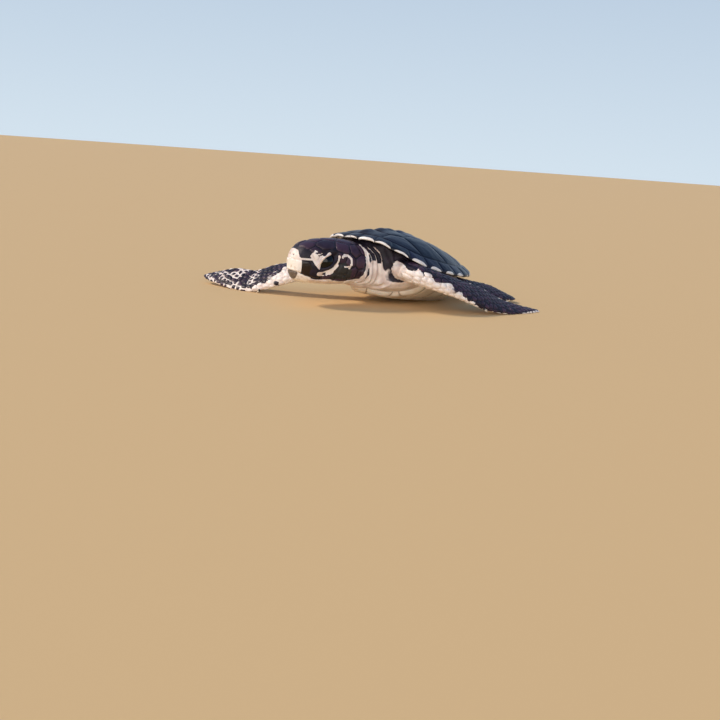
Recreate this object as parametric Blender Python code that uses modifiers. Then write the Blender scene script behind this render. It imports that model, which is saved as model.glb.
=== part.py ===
"""Green turtle hatchling, life size, crawling with its front raised on its flippers.

Metres, +Z up, floor at z = 0. The turtle faces -Y and its left side is +X. The origin is the
middle of the small flat that the rear of the belly rests on. Sizes below are in millimetres along
three axes: x to the turtle's left, f forward (minus Y) from the middle of the shell, and z up.
"""

import math

import bmesh
import bpy
from mathutils import Matrix, Vector

MM = 0.001
GAP = 0.3  # clearance between neighbouring pieces
REST = -12.0  # forward place of the resting flat, where the origin is

# Shell
SHELL_FRONT = 24.0  # centre to the front margin
SHELL_REAR = 25.8  # centre to the rear point
SHELL_HALF_WIDTH = 19.5
SHELL_FRONT_SWELL = 0.10  # how far the widest place sits ahead of the centre
DOME_TOP = 18.8  # height of the back over the floor, before the body is tipped up
DOME_CENTRE = 6.4  # forward place of the top of the back
DOME_ROUND = 2.12  # how long the back stays high on its way to the front and side margins
DOME_ROUND_REAR = 1.95  # the same towards the rear, which slopes more evenly
DOME_SHOULDER = 0.98
MARGIN_HEIGHTS = (  # degrees round from the front, height before tipping
    (0, 16.2),
    (24, 15.8),
    (42, 13.6),
    (62, 10.7),
    (85, 9.2),
    (115, 8.7),
    (150, 9.5),
    (180, 8.2),
)
SHELL_THICKNESS = 1.0
KEEL_HEIGHT = 0.5
KEEL_WIDTH = 1.7

# Belly plate
BELLY_FRONT = 19.5
BELLY_REAR = 18.5
LOBE_HALF_WIDTH = 10.2
BRIDGE_REACH = 7.4  # how far the bridge stands out beyond the lobes
BRIDGE_SPREAD = 34.0  # degrees round from the side where the bridge has faded
BELLY_SIDE_RISE = 7.2
BELLY_END_RISE = 1.6

# Stance
PITCH = 0.09  # rise of the body for each millimetre forward
FLOOR_CUT = 0.6  # how far the belly is lowered into the floor, which flattens it

# Trunk inside the shell
TRUNK_SHARE = 0.86
TRUNK_WALL = 0.32  # share of the pole-to-equator cosine over which the side wall turns

# Head
HEAD_CENTRE = (-2.26, 30.54, 12.2)
HEAD_LENGTH = 22.4
HEAD_YAW = 20.0  # degrees to the turtle's right
HEAD_PITCH = -2.0
HEAD_SECTIONS = (  # distance behind the snout, half width, top, bottom, squareness
    (0.0, 1.9, 1.3, -3.2, 2.0),
    (0.6, 3.3, 2.9, -4.3, 2.2),
    (1.8, 4.4, 4.4, -5.1, 2.3),
    (3.6, 5.2, 5.4, -5.6, 2.4),
    (6.0, 5.8, 5.9, -5.9, 2.4),
    (9.0, 6.4, 6.2, -6.2, 2.4),
    (12.5, 6.9, 6.2, -6.4, 2.4),
    (16.5, 7.0, 5.8, -6.3, 2.4),
    (19.6, 6.4, 5.0, -5.7, 2.3),
    (21.6, 5.0, 3.6, -4.5, 2.2),
    (22.4, 2.8, 2.0, -2.7, 2.0),
)
EYE_BEHIND_SNOUT = 8.8
EYE_OUT = 3.85
EYE_UP = 0.4
EYE_RADIUS = 3.1
MOUTH_LINE = ((-0.9, -2.0), (0.9, -2.3), (2.8, -3.2), (5.6, -4.1), (9.0, -4.3), (12.6, -3.9))
JAW_BACK = 11.6
UPPER_BEAK = ((-1.4, 1.2), (3.4, 0.8), (5.0, -1.2), (6.6, -3.2))  # its upper edge
LOWER_BEAK_BACK = 4.2
NECK_STATIONS = (  # x, f, z, half width, half height
    (0.0, 13.0, 10.4, 8.6, 5.6),
    (0.2, 18.0, 11.0, 8.4, 6.0),
    (0.4, 21.6, 11.4, 7.7, 6.0),
    (0.3, 24.6, 11.8, 6.7, 5.7),
    (-0.7, 28.6, 12.0, 5.0, 4.8),
)

# Front flippers: share of length, half chord, half thickness, how far the blade lies behind the spine
FRONT_LIMB = (
    (0.00, 4.5, 3.5, 0.0),
    (0.14, 4.5, 3.4, 0.0),
    (0.30, 4.5, 2.7, 0.1),
    (0.45, 5.1, 1.9, 0.6),
    (0.60, 5.3, 1.35, 1.1),
    (0.72, 4.6, 1.0, 1.1),
    (0.86, 3.5, 0.75, 0.7),
    (0.95, 2.5, 0.5, 0.2),
    (1.00, 1.2, 0.3, 0.0),
)
# x, f, z, roll in degrees (positive turns the leading edge down)
LEFT_FRONT_SPINE = (
    (8.0, 12.0, 11.6, 0.0),
    (13.5, 13.8, 11.2, 6.0),
    (19.0, 11.6, 9.6, 14.0),
    (24.2, 6.0, 7.2, 24.0),
    (28.2, -1.5, 4.0, 32.0),
    (31.4, -10.0, 1.5, 24.0),
    (34.0, -22.8, 0.3, 6.0),
)
RIGHT_FRONT_SPINE = (
    (-8.0, 12.5, 10.6, 0.0),
    (-13.0, 17.0, 9.2, 8.0),
    (-18.0, 22.4, 7.8, 20.0),
    (-24.0, 27.6, 5.2, 32.0),
    (-31.5, 31.8, 2.1, 32.0),
    (-39.8, 33.6, 2.5, 40.0),
    (-49.8, 33.4, 2.4, 18.0),
)
WRIST_CUT = 0.42

# Hind flippers
HIND_LIMB = (
    (0.00, 3.2, 2.4, 0.0),
    (0.25, 3.2, 2.1, 0.0),
    (0.45, 3.9, 1.5, 0.0),
    (0.65, 4.7, 1.1, 0.0),
    (0.82, 4.6, 0.85, 0.0),
    (0.94, 3.1, 0.6, 0.0),
    (1.00, 1.2, 0.35, 0.0),
)
LEFT_HIND_SPINE = (
    (6.5, -10.5, 6.2, 0.0),
    (9.4, -15.4, 5.6, 8.0),
    (13.0, -20.8, 4.5, 16.0),
    (16.2, -26.6, 3.0, 18.0),
    (19.0, -32.8, 1.2, 6.0),
)
RIGHT_HIND_SPINE = (
    (-6.5, -11.0, 6.2, 0.0),
    (-10.6, -15.4, 5.2, 6.0),
    (-14.8, -19.0, 3.6, 16.0),
    (-19.0, -22.0, 1.9, 14.0),
    (-23.6, -24.6, 0.7, 4.0),
)
ANKLE_CUT = 0.40

TAIL_STATIONS = (  # x, f, z, half width, half height
    (0.0, -15.0, 4.4, 2.6, 2.0),
    (0.0, -20.5, 3.4, 1.9, 1.5),
    (0.2, -24.0, 2.4, 1.2, 1.0),
    (0.5, -26.8, 1.5, 0.45, 0.4),
)

CLAW_LENGTH = 1.0
CLAW_RADIUS = 0.4
FRONT_CLAW_AT = 0.56  # share of the limb's length where the claw leaves its leading edge
HIND_CLAW_AT = 0.78

SKINS = {  # colour, roughness
    "shell_dark": ((0.035, 0.036, 0.048, 1.0), 0.45),
    "belly_cream": ((0.80, 0.74, 0.64, 1.0), 0.55),
    "skin_dark": ((0.045, 0.040, 0.055, 1.0), 0.55),
    "skin_cream": ((0.76, 0.70, 0.62, 1.0), 0.6),
    "eye_black": ((0.008, 0.007, 0.007, 1.0), 0.08),
    "horn": ((0.30, 0.26, 0.22, 1.0), 0.4),
}


def turned(x, f, z):
    """A direction given to the turtle's left, forward and up, along Blender's axes."""
    return Vector((x, -f, z))


def place(x, f, z):
    """A point given to the turtle's left, forward and up in millimetres, in metres."""
    return turned(x, f - REST, z) * MM


def material(name):
    found = bpy.data.materials.get(name)
    if found:
        return found
    colour, roughness = SKINS[name]
    made = bpy.data.materials.new(name)
    made.use_nodes = True
    shader = made.node_tree.nodes["Principled BSDF"]
    shader.inputs["Base Color"].default_value = colour
    shader.inputs["Roughness"].default_value = roughness
    shader.inputs["Metallic"].default_value = 0.0
    return made


def new_object(name, bm, collection, skin=None):
    """The bmesh as an object of that collection, with its faces turned outwards."""
    bmesh.ops.recalc_face_normals(bm, faces=bm.faces)
    mesh = bpy.data.meshes.new(name)
    bm.to_mesh(mesh)
    bm.free()
    mesh.shade_smooth()
    obj = bpy.data.objects.new(name, mesh)
    collection.objects.link(obj)
    if skin:
        mesh.materials.append(material(skin))
    return obj


def blend(rows, at):
    """The values of a table at a place along its first column, eased by Catmull-Rom."""
    last = len(rows) - 1
    at = min(max(at, rows[0][0]), rows[last][0])
    k = next((i for i in range(last) if at <= rows[i + 1][0]), last - 1)
    t = (at - rows[k][0]) / (rows[k + 1][0] - rows[k][0])
    values = []
    for column in range(1, len(rows[0])):
        a, b = rows[k][column], rows[k + 1][column]
        before = rows[k - 1] if k > 0 else rows[k]
        after = rows[k + 2] if k + 2 <= last else rows[k + 1]
        span = rows[k + 1][0] - rows[k][0]
        slope_a = (b - before[column]) / (rows[k + 1][0] - before[0]) * span
        slope_b = (after[column] - a) / (after[0] - rows[k][0]) * span
        values.append(
            (2 * t**3 - 3 * t**2 + 1) * a
            + (t**3 - 2 * t**2 + t) * slope_a
            + (3 * t**2 - 2 * t**3) * b
            + (t**3 - t**2) * slope_b
        )
    return values


def spine_table(points):
    """The points with the share of the whole length in front of each."""
    lengths = [0.0]
    for a, b in zip(points, points[1:]):
        lengths.append(lengths[-1] + (Vector(b[:3]) - Vector(a[:3])).length)
    return [(length / lengths[-1], *point) for length, point in zip(lengths, points)]


def oval(angle, half_width, top, bottom, squareness):
    """A point of a rounded-box outline: (sideways, up). top is above and bottom below zero."""
    c, s = math.cos(angle), math.sin(angle)
    side = math.copysign(abs(c) ** (2 / squareness), c) * half_width
    rise = math.copysign(abs(s) ** (2 / squareness), s)
    return side, rise * (top if rise > 0 else -bottom)


def loft(rings):
    """A closed body through rings of points, with a fan at each end."""
    bm = bmesh.new()
    loops = [[bm.verts.new(p) for p in ring] for ring in rings]
    count = len(loops[0])
    for a, b in zip(loops, loops[1:]):
        for i in range(count):
            j = (i + 1) % count
            bm.faces.new((a[i], a[j], b[j], b[i]))
    for loop in (loops[0], loops[-1]):
        middle = sum((v.co for v in loop), Vector()) / count
        tip = bm.verts.new(middle)
        for i in range(count):
            bm.faces.new((tip, loop[i], loop[(i + 1) % count]))
    return bm


def inflated(source, by, collection):
    """A hidden, swollen copy of a piece, used to cut its neighbour clear of it."""
    bpy.context.view_layer.update()
    graph = bpy.context.evaluated_depsgraph_get()
    mesh = bpy.data.meshes.new_from_object(source.evaluated_get(graph))
    bm = bmesh.new()
    bm.from_mesh(mesh)
    bpy.data.meshes.remove(mesh)
    bm.normal_update()
    moves = [v.normal * by * MM for v in bm.verts]
    for v, move in zip(bm.verts, moves):
        v.co += move
    return hidden(new_object("clear_of_" + source.name, bm, collection))


def hidden(obj):
    obj.hide_render = True
    obj.display_type = "WIRE"
    return obj


def cut(obj, cutter, operation="DIFFERENCE"):
    """A Boolean on obj; the cutter stays as a hidden helper."""
    modifier = obj.modifiers.new(f"{operation.lower()}_{cutter.name}", "BOOLEAN")
    modifier.operation = operation
    modifier.solver = "EXACT"
    modifier.object = cutter
    return obj


# Shell surfaces -----------------------------------------------------------------------------


def lift(f):
    """How far the tipped body stands above its level place."""
    return PITCH * (f - REST)


def margin(turn):
    """The shell's edge, turn degrees round from the front: (x, f, z) before tipping."""
    c, s = math.cos(math.radians(turn)), math.sin(math.radians(turn))
    x = SHELL_HALF_WIDTH * s * (1 + SHELL_FRONT_SWELL * c)
    if c > 0:
        f = SHELL_FRONT * c * (1.04 - 0.04 * c**6)
    else:
        f = (SHELL_REAR - 0.9 * (1 - abs(c) ** 8)) * c
    around = abs((turn + 180) % 360 - 180)
    return x, f, blend(MARGIN_HEIGHTS, around)[0]


def dome(share, turn):
    """The outer surface of the back, from its top (share 0) to the margin (share 1)."""
    mx, mf, mz = margin(turn)
    x = mx * share
    f = DOME_CENTRE + (mf - DOME_CENTRE) * share
    rearward = max(0.0, -math.cos(math.radians(turn)))
    roundness = DOME_ROUND + (DOME_ROUND_REAR - DOME_ROUND) * rearward
    rise = max(0.0, 1 - share**roundness) ** DOME_SHOULDER
    keel = KEEL_HEIGHT * math.exp(-((x / KEEL_WIDTH) ** 2)) * rise
    z = mz + (DOME_TOP - mz) * rise + keel
    return Vector((x, f, z + lift(f)))


def belly_height(x, f):
    """The outer surface of the belly at a place in plan."""
    reach = BELLY_FRONT if f > 0 else BELLY_REAR
    sides = BELLY_SIDE_RISE * abs(x / (LOBE_HALF_WIDTH + BRIDGE_REACH)) ** 2.6
    return sides + BELLY_END_RISE * abs(f / reach) ** 4 + lift(f) - FLOOR_CUT


def belly(share, turn):
    """The outer surface of the belly plate, from its middle to its edge."""
    c, s = math.cos(math.radians(turn)), math.sin(math.radians(turn))
    from_side = math.degrees(math.asin(abs(c)))
    bridge = BRIDGE_REACH * math.exp(-((from_side / BRIDGE_SPREAD) ** 4))
    x = (LOBE_HALF_WIDTH + bridge) * s * share
    f = (BELLY_FRONT if c > 0 else BELLY_REAR) * c * share
    return Vector((x, f, belly_height(x, f)))


def inward(surface, share, turn, depth, sign):
    """A point of the surface moved inwards by depth. sign is 1 for the back, -1 for the belly."""
    step = 0.01
    share = max(share, step)
    here = surface(share, turn)
    out = surface(min(share + step, 1.0), turn) - surface(min(share + step, 1.0) - 2 * step, turn)
    round_ = surface(share, turn + 1) - surface(share, turn - 1)
    normal = out.cross(round_).normalized()
    if normal.z * sign < 0:
        normal.negate()
    return here - normal * depth


def plate(name, surface, collection, skin, rings, segments):
    """A shell plate: a polar sheet of the surface, thickened inwards."""
    bm = bmesh.new()
    turns = [360 * i / segments for i in range(segments)]
    shares = [(i + 1) / rings for i in range(rings)]
    middle = bm.verts.new(place(*surface(0.0, 0.0)))
    loops = [[bm.verts.new(place(*surface(r, t))) for t in turns] for r in shares]
    for i in range(segments):
        j = (i + 1) % segments
        bm.faces.new((middle, loops[0][i], loops[0][j]))
        for a, b in zip(loops, loops[1:]):
            bm.faces.new((a[i], b[i], b[j], a[j]))
    return new_object(name, bm, collection, skin)


def thickened(obj, offset):
    modifier = obj.modifiers.new("wall", "SOLIDIFY")
    modifier.thickness = SHELL_THICKNESS * MM
    modifier.offset = offset
    modifier.use_even_offset = True
    return obj


def facing(obj, up):
    """Turns the faces of an open sheet so that its middle looks up or down."""
    bm = bmesh.new()
    bm.from_mesh(obj.data)
    bm.normal_update()
    lean = sum(face.normal.z * face.calc_area() for face in bm.faces)
    if (lean > 0) != up:
        bmesh.ops.reverse_faces(bm, faces=bm.faces)
    bm.to_mesh(obj.data)
    bm.free()
    return obj


def make_carapace(parts):
    sheet = plate("carapace", dome, parts, "shell_dark", 8, 40)
    return thickened(facing(sheet, True), -1.0)


def make_plastron(parts, floor):
    sheet = plate("plastron", belly, parts, "belly_cream", 6, 32)
    return cut(thickened(facing(sheet, False), -1.0), floor)


def make_trunk(parts):
    """The body inside the shell: a sphere whose upper half follows the back, its lower the belly."""
    bm = bmesh.new()
    bmesh.ops.create_uvsphere(bm, u_segments=28, v_segments=12, radius=1.0)
    depth = SHELL_THICKNESS + GAP + 0.1
    for v in bm.verts:
        share = min(math.hypot(v.co.x, v.co.y), 1.0)
        turn = math.degrees(math.atan2(v.co.x, v.co.y)) if share > 1e-6 else 0.0
        up = max(-1.0, min(1.0, v.co.z))
        inside = TRUNK_SHARE * share
        back = inward(dome, inside, turn, depth, 1)
        under = Vector((back.x, back.y, belly_height(back.x, back.y) + depth * 1.25))
        middle = (back + under) / 2
        turning = min(1.0, abs(up) / TRUNK_WALL) ** 0.6
        v.co = place(*(middle + ((back if up > 0 else under) - middle) * turning))
    return new_object("trunk", bm, parts, "skin_cream")


# Head and neck --------------------------------------------------------------------------------


def head_point(behind, side, up):
    """A place on the head, in millimetres behind the snout, to its left and up, in x, f, z."""
    yaw, pitch = math.radians(HEAD_YAW), math.radians(HEAD_PITCH)
    ahead = HEAD_LENGTH / 2 - behind
    forward = Vector((-math.sin(yaw) * math.cos(pitch), math.cos(yaw) * math.cos(pitch), math.sin(pitch)))
    left = Vector((math.cos(yaw), math.sin(yaw), 0.0))
    above = Vector((math.sin(yaw) * math.sin(pitch), -math.cos(yaw) * math.sin(pitch), math.cos(pitch)))
    return Vector(HEAD_CENTRE) + forward * ahead + left * side + above * up


def head_loft(points_round=30, rings=17):
    """The whole head as one closed body, beak to nape."""
    loops = []
    for i in range(rings + 1):
        behind = HEAD_LENGTH * (0.5 - 0.5 * math.cos(math.pi * i / rings))
        width, top, bottom, square = blend(HEAD_SECTIONS, behind)
        ring = []
        for k in range(points_round):
            side, up = oval(2 * math.pi * k / points_round, width, top, bottom, square)
            ring.append(place(*head_point(behind, side, up)))
        loops.append(ring)
    return loft(loops)


def head_block(name, outline, collection):
    """A block right across the head, over an outline of (behind the snout, up) points."""
    reach = 9.0
    bm = bmesh.new()
    loops = []
    for side in (-reach, reach):
        loops.append([bm.verts.new(place(*head_point(d, side, z))) for d, z in outline])
    for i in range(len(outline)):
        j = (i + 1) % len(outline)
        bm.faces.new((loops[0][i], loops[0][j], loops[1][j], loops[1][i]))
    bm.faces.new(loops[0])
    bm.faces.new(loops[1])
    return hidden(new_object(name, bm, collection))


def jaw_outline(grow):
    """Everything under the mouth line, as far back as the jaw's corner, grown by grow."""
    line = [(d, z + grow) for d, z in MOUTH_LINE if d < JAW_BACK]
    corner = (JAW_BACK + grow, blend(MOUTH_LINE, JAW_BACK)[0] + grow)
    return [*line, corner, (JAW_BACK + 2.5 + grow, -9.0), (MOUTH_LINE[0][0], -9.0)]


def upper_beak_outline(grow):
    edge = [(d + grow / 2, z + grow) for d, z in UPPER_BEAK]
    return [(edge[0][0] - 1, edge[0][1]), *edge, (edge[-1][0] + grow / 2, -9.0), (edge[0][0] - 1, -9.0)]


def lower_beak_outline(grow):
    back = LOWER_BEAK_BACK + grow
    return [(-2.5, 2.0), (back, 2.0), (back + 0.6, -9.0), (-2.5, -9.0)]


def eye_ball(name, side, radius, collection, skin=None):
    bm = bmesh.new()
    bmesh.ops.create_uvsphere(bm, u_segments=18, v_segments=10, radius=radius * MM)
    centre = place(*head_point(EYE_BEHIND_SNOUT, EYE_OUT * side, EYE_UP))
    bmesh.ops.translate(bm, verts=bm.verts, vec=centre)
    return new_object(name, bm, collection, skin)


def make_head(parts, cutters):
    """Head, lower jaw and the two horny beaks, all out of one form, and the eyes in their sockets."""
    half = GAP / 2
    jaw_room = head_block("jaw_room", jaw_outline(half), cutters)
    jaw_block = head_block("jaw_block", jaw_outline(-half), cutters)
    head = new_object("head", head_loft(), parts, "skin_dark")
    cut(head, jaw_room)
    cut(head, head_block("upper_beak_room", upper_beak_outline(half), cutters))
    upper = new_object("upper_beak", head_loft(), parts, "horn")
    cut(upper, jaw_room)
    cut(upper, head_block("upper_beak_block", upper_beak_outline(-half), cutters), "INTERSECT")
    jaw = new_object("lower_jaw", head_loft(), parts, "skin_cream")
    cut(jaw, jaw_block, "INTERSECT")
    cut(jaw, head_block("lower_beak_room", lower_beak_outline(half), cutters))
    lower = new_object("lower_beak", head_loft(), parts, "horn")
    cut(lower, jaw_block, "INTERSECT")
    cut(lower, head_block("lower_beak_block", lower_beak_outline(-half), cutters), "INTERSECT")
    for side, word in ((1, "left"), (-1, "right")):
        cut(head, hidden(eye_ball(f"socket_{word}", side, EYE_RADIUS + GAP, cutters)))
        eye_ball(f"eye_{word}", side, EYE_RADIUS, parts, "eye_black")


def station_rings(stations, count, points_round):
    """Rings across a round limb given as x, f, z, half width, half height."""
    table = spine_table(stations)
    rings = []
    for i in range(count + 1):
        at = i / count
        x, f, z, width, height = blend(table, at)
        ahead = Vector(blend(table, min(1.0, at + 0.02))[:3])
        behind = Vector(blend(table, max(0.0, at - 0.02))[:3])
        tangent = (ahead - behind).normalized()
        side = tangent.cross(Vector((0, 0, 1))).normalized()
        up = side.cross(tangent)
        ring = []
        for k in range(points_round):
            a = 2 * math.pi * k / points_round
            across, rise = oval(a, width, height, -height, 2.2)
            ring.append(place(*(Vector((x, f, z)) + side * across + up * rise)))
        rings.append(ring)
    return rings


def make_neck(parts, clear_of):
    neck = new_object("neck", loft(station_rings(NECK_STATIONS, 7, 24)), parts, "skin_cream")
    for neighbour in clear_of:
        cut(neck, neighbour)
    return neck


# Limbs ----------------------------------------------------------------------------------------


def limb_frame(table, profile, side, at):
    """Where a limb is at a share of its length: middle, tangent, forward reach, upper reach.

    side is -1 on a left limb and 1 on a right one.
    """
    x, f, z, roll = blend(table, at)
    ahead = Vector(blend(table, min(1.0, at + 0.02))[:3])
    behind = Vector(blend(table, max(0.0, at - 0.02))[:3])
    tangent = (ahead - behind).normalized()
    level = tangent.cross(Vector((0, 0, 1))).normalized() * side
    up = level.cross(tangent) * side
    roll = math.radians(roll)
    lead = level * math.cos(roll) - up * math.sin(roll)
    top = up * math.cos(roll) + level * math.sin(roll)
    chord, thick, back = blend(profile, at)
    return Vector((x, f, z)) - lead * back, tangent, lead * chord, top * thick


def limb_rings(spine, profile, side, start, end, count, points_round):
    """Rings of a flattened limb between two shares of its length."""
    table = spine_table(spine)
    rings = []
    for i in range(count + 1):
        at = start + (end - start) * i / count
        middle, _, lead, top = limb_frame(table, profile, side, at)
        ring = []
        for k in range(points_round):
            a = 2 * math.pi * k / points_round
            along, rise = math.cos(a), math.sin(a)
            taper = 0.78 + 0.22 * along  # thicker at the leading edge
            ring.append(place(*(middle + lead * along + top * rise * taper)))
        rings.append(ring)
    return rings


def make_claw(name, spine, profile, side, at, parts, floor):
    """A short cone that leaves the leading edge towards the tip."""
    middle, tangent, lead, _ = limb_frame(spine_table(spine), profile, side, at)
    out = lead.normalized()
    aim = (out * 0.9 + tangent * 0.45).normalized()
    base = middle + lead + out * (GAP + 0.1)
    bm = bmesh.new()
    bmesh.ops.create_cone(
        bm,
        cap_ends=True,
        segments=12,
        radius1=CLAW_RADIUS * MM,
        radius2=CLAW_RADIUS * 0.25 * MM,
        depth=CLAW_LENGTH * MM,
    )
    turn = turned(*aim).to_track_quat("Z", "Y").to_matrix().to_4x4()
    centre = place(*(base + aim * CLAW_LENGTH / 2))
    bmesh.ops.transform(bm, matrix=Matrix.Translation(centre) @ turn, verts=bm.verts)
    return cut(new_object(name, bm, parts, "horn"), floor)


def make_limb(names, spine, profile, side, parting, parts, clear_of, floor):
    """A limb in two nodes, parted across at a share of its length."""
    name, tip_name = names
    length = sum((Vector(b[:3]) - Vector(a[:3])).length for a, b in zip(spine, spine[1:]))
    half = GAP / 2 / length
    root_rings = limb_rings(spine, profile, side, 0, parting - half, 7, 16)
    blade_rings = limb_rings(spine, profile, side, parting + half, 1, 11, 16)
    root = new_object(name, loft(root_rings), parts, "skin_cream")
    blade = new_object(tip_name, loft(blade_rings), parts, "skin_dark")
    for piece in (root, blade):
        for neighbour in clear_of:
            cut(piece, neighbour)
        cut(piece, floor)


def make_floor(collection):
    """A block under the floor, which cuts the resting flats."""
    bm = bmesh.new()
    bmesh.ops.create_cube(bm, size=200 * MM)
    bmesh.ops.translate(bm, verts=bm.verts, vec=Vector((0, 0, -100 * MM)))
    return hidden(new_object("floor_block", bm, collection))


def make_tail(parts, clear_of):
    tail = new_object("tail", loft(station_rings(TAIL_STATIONS, 8, 16)), parts, "skin_dark")
    for neighbour in clear_of:
        cut(tail, neighbour)
    return tail


def collection_named(name):
    made = bpy.data.collections.new(name)
    bpy.context.scene.collection.children.link(made)
    return made


def main():
    for obj in list(bpy.data.objects):
        bpy.data.objects.remove(obj)
    parts = collection_named("green_turtle_hatchling")
    cutters = collection_named("cutters")
    floor = make_floor(cutters)
    carapace = make_carapace(parts)
    plastron = make_plastron(parts, floor)
    make_head(parts, cutters)
    whole_head = hidden(new_object("whole_head", head_loft(), cutters))
    head_room = inflated(whole_head, GAP, cutters)
    trunk = cut(make_trunk(parts), head_room)
    room = [inflated(piece, GAP, cutters) for piece in (trunk, plastron, carapace)]
    make_neck(parts, [*room, head_room])
    for word, side, spine, hind in (
        ("left", -1, LEFT_FRONT_SPINE, LEFT_HIND_SPINE),
        ("right", 1, RIGHT_FRONT_SPINE, RIGHT_HIND_SPINE),
    ):
        names = (f"front_arm_{word}", f"front_flipper_{word}")
        make_limb(names, spine, FRONT_LIMB, side, WRIST_CUT, parts, room, floor)
        make_claw(f"front_claw_{word}", spine, FRONT_LIMB, side, FRONT_CLAW_AT, parts, floor)
        names = (f"hind_leg_{word}", f"hind_flipper_{word}")
        make_limb(names, hind, HIND_LIMB, side, ANKLE_CUT, parts, room, floor)
        make_claw(f"hind_claw_{word}", hind, HIND_LIMB, side, HIND_CLAW_AT, parts, floor)
    make_tail(parts, room)


main()
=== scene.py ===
"""Green turtle hatchling, life size: skin, shell, scales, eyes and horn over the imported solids.

Sizes are millimetres along the turtle's own axes unless a name says otherwise: x to its left,
f forward from the middle of the shell, and z up from the floor.
"""

import logging
import math
from dataclasses import dataclass, field
from enum import Enum

import bmesh
import bpy
import numpy as np
from mathutils import Matrix, Vector, noise
from mathutils.bvhtree import BVHTree


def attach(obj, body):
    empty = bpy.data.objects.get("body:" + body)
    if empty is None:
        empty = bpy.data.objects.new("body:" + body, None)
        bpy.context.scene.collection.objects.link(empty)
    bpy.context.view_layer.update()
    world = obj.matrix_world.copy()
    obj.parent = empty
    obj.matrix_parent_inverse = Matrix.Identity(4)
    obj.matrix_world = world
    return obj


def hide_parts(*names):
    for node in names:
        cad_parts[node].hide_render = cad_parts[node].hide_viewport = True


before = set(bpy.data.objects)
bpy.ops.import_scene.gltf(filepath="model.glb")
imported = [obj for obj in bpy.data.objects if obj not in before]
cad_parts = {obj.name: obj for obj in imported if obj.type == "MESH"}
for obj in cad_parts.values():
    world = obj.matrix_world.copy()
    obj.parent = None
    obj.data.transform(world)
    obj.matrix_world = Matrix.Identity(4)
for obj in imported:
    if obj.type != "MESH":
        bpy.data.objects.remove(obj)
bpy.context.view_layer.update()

MM = 0.001
REST = -12.0  # forward place of the belly's resting flat, where the row frame has its origin
BODY = "root"
UP = np.array((0.0, 0.0, 1.0))

log = logging.getLogger("hatchling")


class Slot(Enum):
    """The record's material slots."""

    CARAPACE = "carapace"
    PLASTRON = "plastron"
    SKIN = "skin"
    BEAK = "beak"
    CLAW = "claw"
    EYE = "eye"


class Side(Enum):
    """The turtle's two sides, with the sign of x on each."""

    LEFT = 1
    RIGHT = -1

    @property
    def word(self) -> str:
        """The side's name in lower case, as the nodes have it."""
        return self.name.lower()


# Numbers and meshes ---------------------------------------------------------------------------


def to_row(points: np.ndarray) -> np.ndarray:
    """Rows of (x, f, z) in turtle millimetres as metres in the row frame."""
    points = np.asarray(points, dtype=float)
    return np.stack((points[..., 0], REST - points[..., 1], points[..., 2]), axis=-1) * MM


def to_turtle(points: np.ndarray) -> np.ndarray:
    """World metres as rows of (x, f, z) in turtle millimetres, the reverse of to_row."""
    points = np.asarray(points, dtype=float) / MM
    return np.stack((points[..., 0], REST - points[..., 1], points[..., 2]), axis=-1)


def unit(vectors: np.ndarray) -> np.ndarray:
    """The vectors at length one."""
    return vectors / np.maximum(np.linalg.norm(vectors, axis=-1, keepdims=True), 1e-12)


def ramp(values: np.ndarray, start: float, end: float) -> np.ndarray:
    """Goes smoothly from 0 at start to 1 at end; either may be the larger."""
    share = np.clip((np.asarray(values) - start) / (end - start), 0.0, 1.0)
    return share * share * (3.0 - 2.0 * share)


def rounded(values: np.ndarray) -> np.ndarray:
    """Rises from 0 at 0 to 1 at 1, steeply first, and stays there."""
    return 1 - (1 - np.minimum(values, 1.0)) ** 2


def bell(values: np.ndarray, width: float) -> np.ndarray:
    """A smooth bump of height 1 round zero that has mostly faded at width."""
    return np.exp(-((np.asarray(values) / width) ** 2))


def ripple(points: np.ndarray, size: float, seed: float = 0.0) -> np.ndarray:
    """Smooth noise between about -1 and 1, with size millimetres from one bump to the next."""
    scaled = np.asarray(points) / size + seed
    return np.array([noise.noise(Vector(p)) for p in scaled])


def read(items: bpy.types.bpy_prop_collection, name: str, width: int, kind: type = float) -> np.ndarray:
    """One property of a mesh's points, edges or corners.

    Args:
        items: The points, edges or corners.
        name: The property.
        width: How many numbers each of them has.
        kind: float, or np.int64 for whole numbers.

    Returns:
        One row for each of them.
    """
    raw = np.empty(len(items) * width, dtype=kind)
    items.foreach_get(name, raw)
    return raw.reshape(-1, width)


def coordinates(mesh: bpy.types.Mesh) -> np.ndarray:
    """The mesh's points in turtle millimetres."""
    return to_turtle(read(mesh.vertices, "co", 3))


def outward(mesh: bpy.types.Mesh) -> np.ndarray:
    """The mesh's point normals along the turtle's axes."""
    return read(mesh.vertex_normals, "vector", 3) * (1.0, -1.0, 1.0)


def move_to(mesh: bpy.types.Mesh, points: np.ndarray) -> None:
    """Moves the mesh's points to new places in turtle millimetres."""
    mesh.vertices.foreach_set("co", to_row(points).ravel())
    mesh.update()


def mark(mesh: bpy.types.Mesh, name: str, values: np.ndarray) -> None:
    """Stores one number for each point under a name, for a material to read."""
    layer = mesh.attributes.new(name, "FLOAT", "POINT")
    layer.data.foreach_set("value", np.asarray(values, dtype=np.float32))


def edge_pairs(mesh: bpy.types.Mesh) -> np.ndarray:
    """The two point numbers of each edge."""
    return read(mesh.edges, "vertices", 2, np.int64)


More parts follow.
